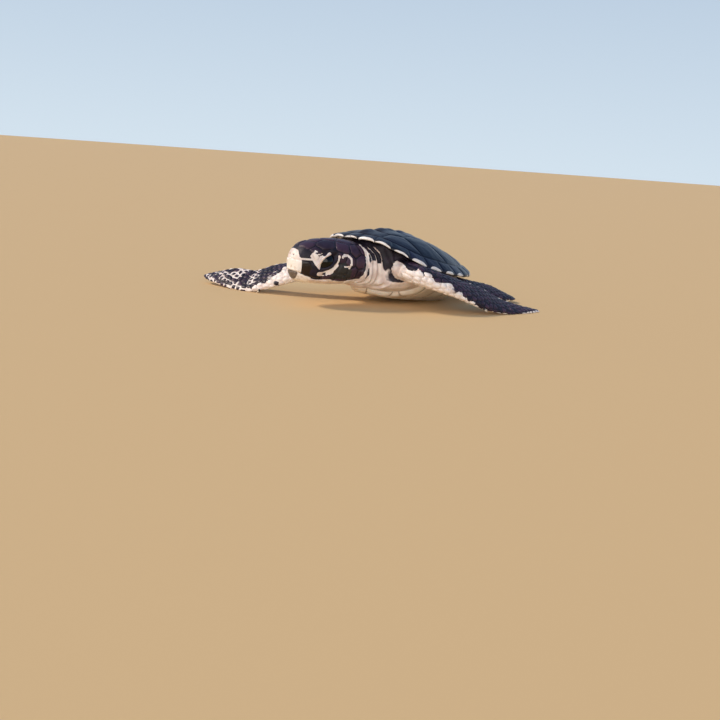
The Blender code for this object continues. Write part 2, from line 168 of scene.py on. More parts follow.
def relaxed(points: np.ndarray, edges: np.ndarray, amount: np.ndarray, rounds: int) -> np.ndarray:
    """Draws each point towards the middle of its neighbours.

    Args:
        points: The places to smooth.
        edges: The pairs of joined points.
        amount: How far each point goes in a round, from 0 to 1.
        rounds: How often.

    Returns:
        The smoothed places.
    """
    count = len(points)
    a, b = edges.T
    joined = np.bincount(edges.ravel(), minlength=count)[:, None]
    amount = np.broadcast_to(amount, (count,))[:, None]
    for _ in range(rounds):
        total = np.stack(
            [np.bincount(a, points[b, k], count) + np.bincount(b, points[a, k], count) for k in range(3)],
            axis=1
        )
        points = points + amount * (total / joined - points)
    return points


def in_scene(name: str, data: bpy.types.ID) -> bpy.types.Object:
    """A new object in the scene.

    Args:
        name: The object's name.
        data: Its mesh, light or camera.

    Returns:
        The object.
    """
    thing = bpy.data.objects.new(name, data)
    bpy.context.scene.collection.objects.link(thing)
    return thing


def finished(
    name: str, mesh: bpy.types.Mesh, slot: Slot, finish: bpy.types.Material, *nodes: str
) -> bpy.types.Object:
    """A piece of the turtle, smooth, dressed and riding on its body.

    Args:
        name: The piece's name.
        mesh: Its shape, already in the row frame.
        slot: The record's slot for the piece; not used.
        finish: Its material.
        *nodes: The CAD nodes that it stands for.

    Returns:
        The new object.
    """
    mesh.name = name
    mesh.materials.clear()
    mesh.materials.append(finish)
    mesh.shade_smooth()
    piece = in_scene(name, mesh)
    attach(piece, BODY)
    if nodes:
        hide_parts(*nodes)
    log.info("%s: %d faces", name, len(mesh.polygons))
    return piece


def to_mesh(bm: bmesh.types.BMesh, name: str) -> bpy.types.Mesh:
    """The bmesh as a mesh.

    Args:
        bm: The bmesh; it is freed.
        name: The mesh's name.

    Returns:
        The mesh.
    """
    mesh = bpy.data.meshes.new(name)
    bm.to_mesh(mesh)
    bm.free()
    return mesh


def ball(around: int, up: int) -> tuple[bpy.types.Mesh, np.ndarray]:
    """A ball of radius one.

    Args:
        around: Its segments round the poles.
        up: Its segments from pole to pole.

    Returns:
        The ball's mesh and its points.
    """
    bm = bmesh.new()
    bmesh.ops.create_uvsphere(bm, u_segments=around, v_segments=up, radius=1.0)
    mesh = to_mesh(bm, "ball")
    return mesh, read(mesh.vertices, "co", 3)


def applied(body: bpy.types.Object) -> bpy.types.Mesh:
    """The object's mesh with its modifiers applied.

    Args:
        body: The object; it is removed, with its old mesh.

    Returns:
        The new mesh.
    """
    graph = bpy.context.evaluated_depsgraph_get()
    mesh = bpy.data.meshes.new_from_object(body.evaluated_get(graph))
    rough = body.data
    bpy.data.objects.remove(body)
    bpy.data.meshes.remove(rough)
    return mesh


def node_copy(names: list[str], swell: float) -> bmesh.types.BMesh:
    """Copies of CAD nodes, each welded and swollen, in one bmesh.

    Args:
        names: The nodes to copy.
        swell: How far each is swollen, in millimetres.

    Returns:
        The bmesh with all of them.
    """
    together = bmesh.new()
    for name in names:
        bm = bmesh.new()
        bm.from_mesh(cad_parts[name].data)
        bmesh.ops.remove_doubles(bm, verts=bm.verts, dist=1e-6)
        bm.normal_update()
        moves = [vert.normal * swell * MM for vert in bm.verts]
        for vert, move in zip(bm.verts, moves):
            vert.co += move
        part = to_mesh(bm, "part")
        together.from_mesh(part)
        bpy.data.meshes.remove(part)
    return together


def remeshed(bm: bmesh.types.BMesh, voxel: float) -> bpy.types.Mesh:
    """Overlapping closed shapes as one even skin.

    Args:
        bm: The shapes; it is freed.
        voxel: The size of the skin's faces in millimetres.

    Returns:
        The skin's mesh.
    """
    body = in_scene("body", to_mesh(bm, "body"))
    modifier = body.modifiers.new("even_skin", "REMESH")
    modifier.mode = "VOXEL"
    modifier.voxel_size = voxel * MM
    return applied(body)


@dataclass(frozen=True)
class Table:
    """Rows of values along a first column, read between the rows on a smooth curve."""

    rows: tuple[tuple[float, ...], ...]

    def at(self, where: np.ndarray) -> np.ndarray:
        """The values at some places.

        Args:
            where: Places along the first column.

        Returns:
            An array with one row of values for each place.
        """
        data = np.array(self.rows)
        keys, values = data[:, 0], data[:, 1:]
        where = np.clip(np.atleast_1d(where), keys[0], keys[-1])
        k = np.clip(np.searchsorted(keys, where, side="left") - 1, 0, len(keys) - 2)
        before, after = np.maximum(k - 1, 0), np.minimum(k + 2, len(keys) - 1)
        span = keys[k + 1] - keys[k]
        t = ((where - keys[k]) / span)[:, None]
        leaving = (values[k + 1] - values[before]) * (span / (keys[k + 1] - keys[before]))[:, None]
        arriving = (values[after] - values[k]) * (span / (keys[after] - keys[k]))[:, None]
        return (
            (2 * t**3 - 3 * t**2 + 1) * values[k]
            + (t**3 - 2 * t**2 + t) * leaving
            + (3 * t**2 - 2 * t**3) * values[k + 1]
            + (t**3 - t**2) * arriving
        )


# Materials ------------------------------------------------------------------------------------


def srgb(code: str) -> tuple[float, float, float, float]:
    """A hex colour such as 1d1a24 as the linear colour that shaders take.

    Args:
        code: Six hex digits.

    Returns:
        Red, green, blue and alpha.
    """
    shares = [int(code[i : i + 2], 16) / 255 for i in (0, 2, 4)]
    linear = [s / 12.92 if s <= 0.04045 else ((s + 0.055) / 1.055) ** 2.4 for s in shares]
    return (*linear, 1.0)


class Graph:
    """A material's nodes while they are being laid out."""

    def __init__(self, name: str) -> None:
        """Starts an empty material of that name."""
        self.material = bpy.data.materials.new(name)
        self.material.use_nodes = True

    def add(
        self, kind: str, settings: dict | None = None, out: object = 0, **inputs: object
    ) -> bpy.types.NodeSocket:
        """Adds a node, sets it up and gives one of its outputs.

        Args:
            kind: The node's type, without ShaderNode.
            settings: Properties of the node itself.
            out: The output's name or number.
            **inputs: Values or sockets by the input's name, with _ for a space, or by in0, in1.

        Returns:
            The node's result.
        """
        node = self.material.node_tree.nodes.new("ShaderNode" + kind)
        for key, value in (settings or {}).items():
            setattr(node, key, value)
        for key, value in inputs.items():
            by_number = key.startswith("in") and key[2:].isdigit()
            self.feed(node.inputs[int(key[2:]) if by_number else key.replace("_", " ")], value)
        return node.outputs[out]

    def feed(self, socket: bpy.types.NodeSocket, value: object) -> None:
        """Links a value to an input, or sets it there.

        Args:
            socket: The input.
            value: A socket to link, a number, or a colour in hex.
        """
        if isinstance(value, bpy.types.NodeSocket):
            self.material.node_tree.links.new(value, socket)
        else:
            socket.default_value = srgb(value) if isinstance(value, str) else value

    def finish(self, **inputs: object) -> bpy.types.Material:
        """Sets the main shader's inputs.

        Args:
            **inputs: Values or sockets by the input's name, with _ for a space.

        Returns:
            The material.
        """
        shader = self.material.node_tree.nodes["Principled BSDF"]
        for key, value in inputs.items():
            self.feed(shader.inputs[key.replace("_", " ")], value)
        return self.material

    def grain(self, size: float, detail: float = 2.0, stretch: tuple = (1, 1, 1)) -> bpy.types.NodeSocket:
        """Noise with a real size.

        Args:
            size: Millimetres from one bump to the next.
            detail: How much finer noise lies on it.
            stretch: How many times closer the bumps are along each axis.

        Returns:
            The noise, round 0.5.
        """
        where = self.add("TexCoord", out="Object")
        where = self.add("Mapping", Vector=where, Scale=stretch)
        return self.add("TexNoise", Vector=where, Scale=1 / (size * MM), Detail=detail)

    def stored(self, name: str, wander: object = None, share: float = 0.0) -> bpy.types.NodeSocket:
        """The number that the mesh stores under a name.

        Args:
            name: The attribute's name.
            wander: Noise round 0.5 that makes its edges uneven.
            share: How much of the noise is added.

        Returns:
            The number.
        """
        value = self.add("Attribute", {"attribute_name": name}, out="Fac")
        if wander is None:
            return value
        shift = self.add("Math", {"operation": "MULTIPLY_ADD"}, in0=wander, in1=share, in2=-share / 2)
        return self.add("Math", {"operation": "ADD"}, in0=value, in1=shift)

    def between(
        self, value: object, start: float, end: float, first: object, second: object
    ) -> bpy.types.NodeSocket:
        """The first colour where the value is at start, the second at end, and mixed between."""
        share = self.add("MapRange", {"interpolation_type": "SMOOTHSTEP"}, Value=value, in1=start, in2=end)
        return self.add("Mix", {"data_type": "RGBA"}, out=2, in0=share, in6=first, in7=second)


def tinted(code: str, share: float) -> tuple[float, float, float, float]:
    """The hex colour, made lighter (share above 1) or darker."""
    return (*(min(1.0, c * share) for c in srgb(code)[:3]), 1.0)


@dataclass(frozen=True)
class ReptileSkin:
    """Living skin of a hatchling: keratin over flesh, near-black above and white below."""

    dark: str = "16101c"
    worn: str = "271e2d"
    pale: str = "efe1d7"
    shaded: str = "d2bdb2"
    olive: str = "2f2d2c"
    grain_size: float = 0.35  # millimetres
    grain_depth: float = 0.0875
    roughness: float = 0.46

    def material(self) -> bpy.types.Material:
        """The skin between and under the scales.

        Returns:
            The material.
        """
        # A fine-grained satin: light spreads softly over it, and the flesh below warms the white.
        graph = Graph("reptile skin, fine-grained")
        wander = graph.grain(1.1, 3.0)
        dark = graph.between(graph.grain(2.2, 3.0), 0.42, 0.68, self.dark, self.worn)
        dark = graph.between(graph.stored("olive", wander, 0.3), 0.4, 0.7, dark, self.olive)
        pale = graph.between(graph.grain(3.0, 2.0), 0.40, 0.72, self.pale, self.shaded)
        colour = graph.between(graph.stored("pale", wander, 0.34), 0.36, 0.62, dark, pale)
        cells = graph.add(
            "TexVoronoi", {"feature": "DISTANCE_TO_EDGE"}, Vector=graph.add("TexCoord", out="Object"),
            Scale=1 / (self.grain_size * MM)
        )
        height = graph.add("Math", {"operation": "MINIMUM"}, in0=cells, in1=0.22)
        normal = graph.add("Bump", Height=height, Distance=self.grain_depth * MM, Strength=0.8)
        normal = graph.add(
            "Bump", Height=graph.grain(0.12, 2.0), Distance=0.012 * MM, Normal=normal, Strength=0.7
        )
        return graph.finish(
            Base_Color=colour, Roughness=self.roughness, IOR=1.45, Specular_IOR_Level=0.32,
            Subsurface_Weight=0.12, Subsurface_Radius=(1.0, 0.5, 0.35), Subsurface_Scale=0.6 * MM,
            Normal=normal
        )


@dataclass(frozen=True)
class ScaleKeratin:
    """The thin keratin of the scales on head and limbs, dark with a paler rubbed edge."""

    dark: str = "1d121f"
    crown: str = "40293a"
    edge: str = "56484c"
    pale: str = "f2e6dc"
    shaded: str = "dccabf"
    olive: str = "2b2a2a"
    roughness: float = 0.42

    def material(self) -> bpy.types.Material:
        """The scales' keratin.

        Returns:
            The material.
        """
        # Thin and satin: each scale has a broad highlight of its own. Keratin's relief is finer than
        # half a millimetre, which is as coarse as it has to be to show.
        graph = Graph("scale keratin, smooth and slightly rubbed")
        wander = graph.grain(0.9, 3.0)
        dark = graph.between(graph.stored("tone"), 0.1, 0.9, self.dark, self.crown)
        dark = graph.between(graph.grain(1.6, 4.0), 0.5, 0.8, dark, tinted(self.dark, 1.9))
        dark = graph.between(graph.stored("olive", wander, 0.3), 0.4, 0.7, dark, self.olive)
        dark = graph.between(graph.stored("edge", wander, 0.35), 0.25, 0.02, dark, self.edge)
        pale = graph.between(graph.grain(1.8, 2.0), 0.42, 0.75, self.pale, self.shaded)
        colour = graph.between(graph.stored("pale", wander, 0.3), 0.38, 0.6, dark, pale)
        normal = graph.add("Bump", Height=graph.grain(0.5, 4.0), Distance=0.03 * MM, Strength=0.7)
        return graph.finish(
            Base_Color=colour, Roughness=self.roughness, IOR=1.54, Specular_IOR_Level=0.3, Coat_Weight=0.06,
            Coat_Roughness=0.3, Normal=normal
        )


@dataclass(frozen=True)
class ScuteKeratin:
    """The shell's horny scutes: blue-black keratin plates over bone, with growth lines."""

    dark: str = "0d0a14"
    blue: str = "19152b"
    brown: str = "231815"
    seam: str = "050507"
    rim: str = "eee6de"
    under: str = "c9bdb2"
    roughness: float = 0.34

    def material(self) -> bpy.types.Material:
        """The back's keratin.

        Returns:
            The material.
        """
        # Dense and hard: a painted sheen of paler blue streaks runs along each plate, broken up by growth
        # lines and pits.
        graph = Graph("scute keratin, blue-black with fine growth lines")
        wander = graph.grain(1.4, 3.0)
        ground = graph.between(graph.stored("tone", wander, 0.5), 0.2, 0.9, self.dark, self.blue)
        ground = graph.between(graph.stored("brown", wander, 0.6), 0.35, 1.0, ground, self.brown)
        # painted sheen: paler blue streaks mixed into the plates' colour
        streaks = graph.grain(0.7, 3.0, (3.0, 0.5, 1.0))
        ground = graph.between(streaks, 0.56, 0.82, ground, tinted(self.blue, 1.8))
        ground = graph.between(graph.stored("seam", wander, 0.12), 0.22, 0.06, ground, self.seam)
        edge = graph.between(graph.grain(2.0, 2.0), 0.4, 0.75, self.rim, self.under)
        colour = graph.between(graph.stored("pale", wander, 0.22), 0.40, 0.58, ground, edge)
        normal = graph.add("Bump", Height=graph.stored("rings"), Distance=0.035 * MM, Strength=0.6)
        normal = graph.add(
            "Bump", Height=graph.grain(0.45, 4.0), Distance=0.04 * MM, Normal=normal, Strength=0.7
        )
        return graph.finish(
            Base_Color=colour, Roughness=self.roughness, IOR=1.54, Specular_IOR_Level=0.3, Coat_Weight=0.10,
            Coat_Roughness=0.22, Normal=normal
        )


@dataclass(frozen=True)
class BellyKeratin:
    """The belly plate's thin white scutes, with painted shade along the seams."""

    cream: str = "eee4d4"
    warm: str = "dccbb5"
    # painted shade: the colour laid into the seams' grooves
    seam: str = "a4937f"
    roughness: float = 0.42

    def material(self) -> bpy.types.Material:
        """The belly's keratin.

        Returns:
            The material.
        """
        # Thin enough to let some light in: soft white plates, with the seams painted slightly darker as
        # shade.
        graph = Graph("belly scute keratin, white and satin")
        wander = graph.grain(1.6, 3.0)
        ground = graph.between(graph.grain(4.0, 3.0), 0.40, 0.70, self.cream, self.warm)
        # painted shade: the seams are darkened towards this colour
        colour = graph.between(graph.stored("seam", wander, 0.16), 0.30, 0.05, ground, self.seam)
        normal = graph.add("Bump", Height=graph.grain(0.6, 4.0), Distance=0.04 * MM, Strength=0.7)
        return graph.finish(
            Base_Color=colour, Roughness=self.roughness, IOR=1.54, Subsurface_Weight=0.15,
            Subsurface_Radius=(1.0, 0.6, 0.4), Subsurface_Scale=0.8 * MM, Normal=normal
        )


@dataclass(frozen=True)
class BeakHorn:
    """The horn of beak, egg tooth and claws: white in front, brown-black along the sides."""

    name: str = "beak horn, polished by use"
    dark: str = "1a0c07"
    pale: str = "f3e9de"
    amber: str = "ccb8a2"
    roughness: float = 0.3

    def material(self) -> bpy.types.Material:
        """The horn.

        Returns:
            The material.
        """
        # Polished by use: small clear highlights on faintly streaked horn.
        graph = Graph(self.name)
        wander = graph.grain(0.8, 3.0)
        pale = graph.between(graph.grain(1.2, 3.0), 0.45, 0.8, self.pale, self.amber)
        dark = graph.between(graph.grain(1.0, 3.0), 0.45, 0.8, self.dark, tinted(self.dark, 1.8))
        colour = graph.between(graph.stored("pale", wander, 0.3), 0.38, 0.6, dark, pale)
        normal = graph.add(
            "Bump", Height=graph.grain(0.3, 3.0, (1, 1, 4)), Distance=0.02 * MM, Strength=0.6
        )
        return graph.finish(
            Base_Color=colour, Roughness=self.roughness, IOR=1.54, Specular_IOR_Level=0.3, Coat_Weight=0.12,
            Coat_Roughness=0.15, Normal=normal
        )


@dataclass(frozen=True)
class WetEye:
    """A hatchling's eye: brown-black iris and pupil under a wet, clear cornea."""

    pupil: str = "020202"
    iris: str = "0b0605"
    white: str = "1a1413"

    def material(self) -> bpy.types.Material:
        """The eye, with its tear film as the coat.

        Returns:
            The material.
        """
        # Wet: one sharp highlight on a ball that is almost black.
        graph = Graph("wet cornea over a black-brown iris")
        iris = graph.between(graph.grain(0.35, 3.0), 0.4, 0.7, self.iris, tinted(self.iris, 2.2))
        colour = graph.between(graph.stored("iris"), 0.42, 0.55, self.pupil, iris)
        colour = graph.between(graph.stored("iris"), 0.92, 1.0, colour, self.white)
        return graph.finish(
            Base_Color=colour, Roughness=0.12, IOR=1.376, Specular_IOR_Level=0.1, Coat_Weight=1.0,
            Coat_Roughness=0.02, Coat_IOR=1.336
        )


@dataclass(frozen=True)
class PaleFloor:
    """A plain matt floor in pale sand colour."""

    colour: str = "d6b382"

    def material(self) -> bpy.types.Material:
        """The floor's matt paint."""
        # Matt: it takes the shadows and gives no highlight.
        graph = Graph("matt floor paint, pale sand")
        return graph.finish(Base_Color=self.colour, Roughness=0.9, Specular_IOR_Level=0.2)


# Shapes that the solids share -----------------------------------------------------------------


@dataclass(frozen=True)
class Shell:
    """The curved surfaces of back and belly."""

    front: float = 24.0
    rear: float = 25.8
    half_width: float = 19.5
    front_swell: float = 0.10
    dome_top: float = 18.8
    dome_centre: float = 6.4
    dome_round: float = 2.12
    dome_round_rear: float = 1.95
    dome_shoulder: float = 0.98
    keel_height: float = 0.5
    keel_width: float = 1.7
    pitch: float = 0.09
    belly_front: float = 19.5
    belly_rear: float = 18.5
    lobe_half_width: float = 10.2
    bridge_reach: float = 7.4
    bridge_spread: float = 34.0
    belly_side_rise: float = 7.2
    belly_end_rise: float = 1.6
    floor_cut: float = 0.6
    margin_heights: Table = Table(
        ((0, 16.2), (24, 15.8), (42, 13.6), (62, 10.7), (85, 9.2), (115, 8.7), (150, 9.5), (180, 8.2))
    )

    def margin(self, turn: np.ndarray) -> np.ndarray:
        """The shell's edge before tipping.

        Args:
            turn: Degrees round from the front.

        Returns:
            Rows of (x, f, z).
        """
        c, s = np.cos(np.radians(turn)), np.sin(np.radians(turn))
        ahead = self.front * c * (1.04 - 0.04 * c**6)
        behind = (self.rear - 0.9 * (1 - np.abs(c) ** 8)) * c
        around = np.abs((turn + 180) % 360 - 180)
        return np.stack(
            (
                self.half_width * s * (1 + self.front_swell * c), np.where(c > 0, ahead, behind),
                self.margin_heights.at(around)[:, 0]
            ),
            axis=1,
        )

    def back(self, share: np.ndarray, turn: np.ndarray) -> np.ndarray:
        """The outer surface of the back.

        Args:
            share: 0 at its top and 1 at the margin.
            turn: Degrees round from the front.

        Returns:
            Rows of (x, f, z).
        """
        edge = self.margin(turn)
        x = edge[:, 0] * share
        f = self.dome_centre + (edge[:, 1] - self.dome_centre) * share
        rearward = np.maximum(0.0, -np.cos(np.radians(turn)))
        roundness = self.dome_round + (self.dome_round_rear - self.dome_round) * rearward
        rise = np.maximum(0.0, 1 - share**roundness) ** self.dome_shoulder
        keel = self.keel_height * bell(x, self.keel_width) * rise
        z = edge[:, 2] + (self.dome_top - edge[:, 2]) * rise + keel
        return np.stack((x, f, z + self.pitch * (f - REST)), axis=1)

    def belly(self, share: np.ndarray, turn: np.ndarray) -> np.ndarray:
        """The outer surface of the belly plate, flat where it meets the floor.

        Args:
            share: 0 in its middle and 1 at its edge.
            turn: Degrees round from the front.

        Returns:
            Rows of (x, f, z).
        """
        c, s = np.cos(np.radians(turn)), np.sin(np.radians(turn))
        from_side = np.degrees(np.arcsin(np.abs(c)))
        bridge = self.bridge_reach * bell((from_side / self.bridge_spread) ** 2, 1.0)
        x = (self.lobe_half_width + bridge) * s * share
        f = np.where(c > 0, self.belly_front, self.belly_rear) * c * share
        return np.stack((x, f, self.belly_height(x, f)), axis=1)

    def belly_height(self, x: np.ndarray, f: np.ndarray) -> np.ndarray:
        """How high the belly's outer surface lies.

        Args:
            x: Places to the left of the middle.
            f: The same places' forward distances.

        Returns:
            Millimetres over the floor.
        """
        reach = np.where(f > 0, self.belly_front, self.belly_rear)
        sides = self.belly_side_rise * np.abs(x / (self.lobe_half_width + self.bridge_reach)) ** 2.6
        z = sides + self.belly_end_rise * np.abs(f / reach) ** 4 + self.pitch * (f - REST)
        return np.maximum(z - self.floor_cut, 0.0)


def seam_distance(points: np.ndarray, seeds: np.ndarray) -> tuple[np.ndarray, np.ndarray]:
    """How far each point lies from the seams between plates that grew from seeds.

    Args:
        points: Rows of plan coordinates.
        seeds: Where the plates grew from, in the same coordinates.

    Returns:
        The distance to the nearest seam, and the number of the plate each point is on.
    """
    square = ((points[:, None, :] - seeds[None, :, :]) ** 2).sum(axis=2)
    own = square.argmin(axis=1)
    apart = np.linalg.norm(seeds[own][:, None, :] - seeds[None, :, :], axis=2)
    with np.errstate(divide="ignore", invalid="ignore"):
        gaps = (square - square[np.arange(len(points)), own][:, None]) / (2 * apart)
    gaps[apart < 1e-9] = np.inf
    return gaps.min(axis=1), own


@dataclass(frozen=True)
class HeadFrame:
    """The head's own axes and form: millimetres behind the snout, to its left, and up."""

    centre: tuple[float, float, float] = (-2.26, 30.54, 12.2)
    length: float = 22.4
    yaw: float = 20.0  # degrees to the turtle's right
    pitch: float = -2.0
    sections: Table = Table(
        (
            (0.0, 1.9, 1.3, 3.2, 2.0), (0.6, 3.3, 2.9, 4.3, 2.2), (1.8, 4.4, 4.4, 5.1, 2.3),
            (3.6, 5.2, 5.4, 5.6, 2.4), (6.0, 5.8, 5.9, 5.9, 2.4), (9.0, 6.4, 6.2, 6.2, 2.4),
            (12.5, 6.9, 6.2, 6.4, 2.4), (16.5, 7.0, 5.8, 6.3, 2.4), (19.6, 6.4, 5.0, 5.7, 2.3),
            (21.6, 5.0, 3.6, 4.5, 2.2), (22.4, 2.8, 2.0, 2.7, 2.0)
        )
    )

    def axes(self) -> np.ndarray:
        """The head's three directions.

        Returns:
            Rows of (x, f, z): backwards, to the head's left, and up.
        """
        yaw, pitch = math.radians(self.yaw), math.radians(self.pitch)
        ahead = (-math.sin(yaw) * math.cos(pitch), math.cos(yaw) * math.cos(pitch), math.sin(pitch))
        above = (math.sin(yaw) * math.sin(pitch), -math.cos(yaw) * math.sin(pitch), math.cos(pitch))
        return np.array(((-ahead[0], -ahead[1], -ahead[2]), (math.cos(yaw), math.sin(yaw), 0.0), above))

    def snout(self) -> np.ndarray:
        """The point that distances behind the snout start from."""
        return np.array(self.centre) - self.axes()[0] * self.length / 2

    def out(self, local: np.ndarray) -> np.ndarray:
        """Head coordinates as turtle millimetres."""
        return self.snout() + np.asarray(local, dtype=float) @ self.axes()

    def local(self, points: np.ndarray) -> np.ndarray:
        """Turtle millimetres as head coordinates."""
        return (np.asarray(points) - self.snout()) @ self.axes().T

    def surface(self, behind: np.ndarray, turn: np.ndarray) -> np.ndarray:
        """A place on the plain form of the head.

        Args:
            behind: Millimetres behind the snout.
            turn: Radians round from the crown, to the head's left.

        Returns:
            Rows of head coordinates.
        """
        width, top, bottom, square = self.sections.at(behind).T
        s, u = np.sin(turn), np.cos(turn)
        height = np.where(u > 0, top, bottom)
        radius = (np.abs(s / width) ** square + np.abs(u / height) ** square) ** (-1 / square)
        return np.stack((np.asarray(behind) + 0 * s, s * radius, u * radius), axis=1)


@dataclass(frozen=True)
class LimbKind:
    """What both front flippers, or both hind ones, have in common."""

    word: str
    root: str  # the nodes' word for its upper part
    claw_at: float  # share of the length
    first_scale: float  # share of the length
    scale_pitch: float  # millimetres from one scale to the next
    outline: Table  # share of the length, half chord, half thickness, how far it lies behind


@dataclass(frozen=True)
class Limb:
    """One flipper, along its spine."""

    kind: LimbKind
    side: Side
    spine: tuple[tuple[float, float, float, float], ...]  # x, f, z, roll
    markings: "LimbMarkings"

    @property
    def name(self) -> str:
        """Its name, such as front_left."""
        return f"{self.kind.word}_{self.side.word}"

    @property
    def nodes(self) -> tuple[str, ...]:
        """The CAD nodes that it covers."""
        return tuple(f"{self.kind.word}_{part}_{self.side.word}" for part in (self.kind.root, "flipper"))

    @property
    def length(self) -> float:
        """The spine's length in millimetres."""
        return float(np.linalg.norm(np.diff(np.array(self.spine)[:, :3], axis=0), axis=1).sum())

    def table(self) -> Table:
        """The spine by share of its length.

        Returns:
            Rows of share, x, f, z and roll.
        """
        points = np.array(self.spine)
        steps = np.linalg.norm(np.diff(points[:, :3], axis=0), axis=1)
        shares = np.concatenate(((0.0,), np.cumsum(steps) / steps.sum()))
        return Table(tuple((float(s), *map(float, p)) for s, p in zip(shares, points)))

    def frame(self, at: np.ndarray) -> tuple[np.ndarray, np.ndarray, np.ndarray, np.ndarray]:
        """The limb's section at shares of its length.

        Args:
            at: Shares from 0 at the shoulder to 1 at the tip.

        Returns:
            Middles, tangents, reaches to the leading edge, and reaches to the upper face.
        """
        table, sign = self.table(), -self.side.value
        at = np.atleast_1d(at)
        here = table.at(at)
        tangent = unit(
            table.at(np.minimum(1.0, at + 0.02))[:, :3] - table.at(np.maximum(0.0, at - 0.02))[:, :3]
        )
        level = unit(np.cross(tangent, UP)) * sign
        up = np.cross(level, tangent) * sign
        roll = np.radians(here[:, 3:4])
        lead = level * np.cos(roll) - up * np.sin(roll)
        top = up * np.cos(roll) + level * np.sin(roll)
        chord, thick, back = self.kind.outline.at(at).T
        return here[:, :3] - lead * back[:, None], tangent, lead * chord[:, None], top * thick[:, None]

    def surface(self, at: np.ndarray, turn: np.ndarray) -> np.ndarray:
        """Places on the limb's plain form.

        Args:
            at: Shares of its length.
            turn: Radians round the section: 0 at the leading edge, a quarter turn on top.

        Returns:
            Rows of (x, f, z).
        """
        middle, _, lead, top = self.frame(at)
        along, rise = np.cos(turn)[:, None], np.sin(turn)[:, None]
        return middle + lead * along + top * rise * (0.78 + 0.22 * along)

    def locate(self, points: np.ndarray) -> tuple[np.ndarray, np.ndarray, np.ndarray]:
        """Where points lie along the limb.

        Args:
            points: Rows of (x, f, z).

        Returns:
            The share of its length, the place across from -1 at the trailing edge to 1 at the
            leading one, and the place through it from -1 underneath to 1 on top.
        """
        shares = np.linspace(0.0, 1.0, 161)
        middles = self.frame(shares)[0]
        nearest = ((points[:, None, :] - middles[None]) ** 2).sum(axis=2).argmin(axis=1)
        at = shares[nearest]
        middle, tangent, _, _ = self.frame(at)
        at = np.clip(at + ((points - middle) * tangent).sum(axis=1) / self.length, 0.0, 1.0)
        middle, _, lead, top = self.frame(at)
        off = points - middle
        across = (off * lead).sum(axis=1) / (lead**2).sum(axis=1)
        through = (off * top).sum(axis=1) / (top**2).sum(axis=1)
        return at, across, through


HEAD = HeadFrame()
SHELL = Shell()


# Markings -------------------------------------------------------------------------------------


@dataclass(frozen=True)
class Stroke:
    """A line of colour on the side of the head, through (behind, up) points."""

    points: tuple[tuple[float, float], ...]
    width: float

    def distance(self, places: np.ndarray) -> np.ndarray:
        """How far places lie from the line.

        Args:
            places: Rows of (behind, up).

        Returns:
            Millimetres.
        """
        nearest = np.full(len(places), np.inf)
        for start, end in zip(self.points, self.points[1:]):
            a, b = np.array(start), np.array(end)
            t = np.clip(((places - a) @ (b - a)) / ((b - a) @ (b - a)), 0.0, 1.0)
            nearest = np.minimum(nearest, np.linalg.norm(places - a - t[:, None] * (b - a), axis=1))
        return nearest

    def cover(self, places: np.ndarray) -> np.ndarray:
        """1 on the line and 0 off it."""
        return ramp(self.distance(places), self.width * 0.75, self.width * 0.25)


@dataclass(frozen=True)
class Patch:
    """A patch of colour on the side of the head, with corners at (behind, up) points."""

    corners: tuple[tuple[float, float], ...]
    softness: float = 0.16

    def cover(self, places: np.ndarray) -> np.ndarray:
        """How well the patch covers places.

        Args:
            places: Rows of (behind, up).

        Returns:
            1 inside it and 0 outside.
        """
        x, y = places.T
        ends = (*self.corners[1:], self.corners[0])
        inside = np.zeros(len(places), dtype=bool)
        for (ax, ay), (bx, by) in zip(self.corners, ends):
            slope = (bx - ax) / (by - ay) if by != ay else 0.0
            inside ^= ((ay > y) != (by > y)) & (x < ax + (y - ay) * slope)
        edge = Stroke((*self.corners, self.corners[0]), 0.0).distance(places)
        return ramp(np.where(inside, edge, -edge), -self.softness, self.softness)


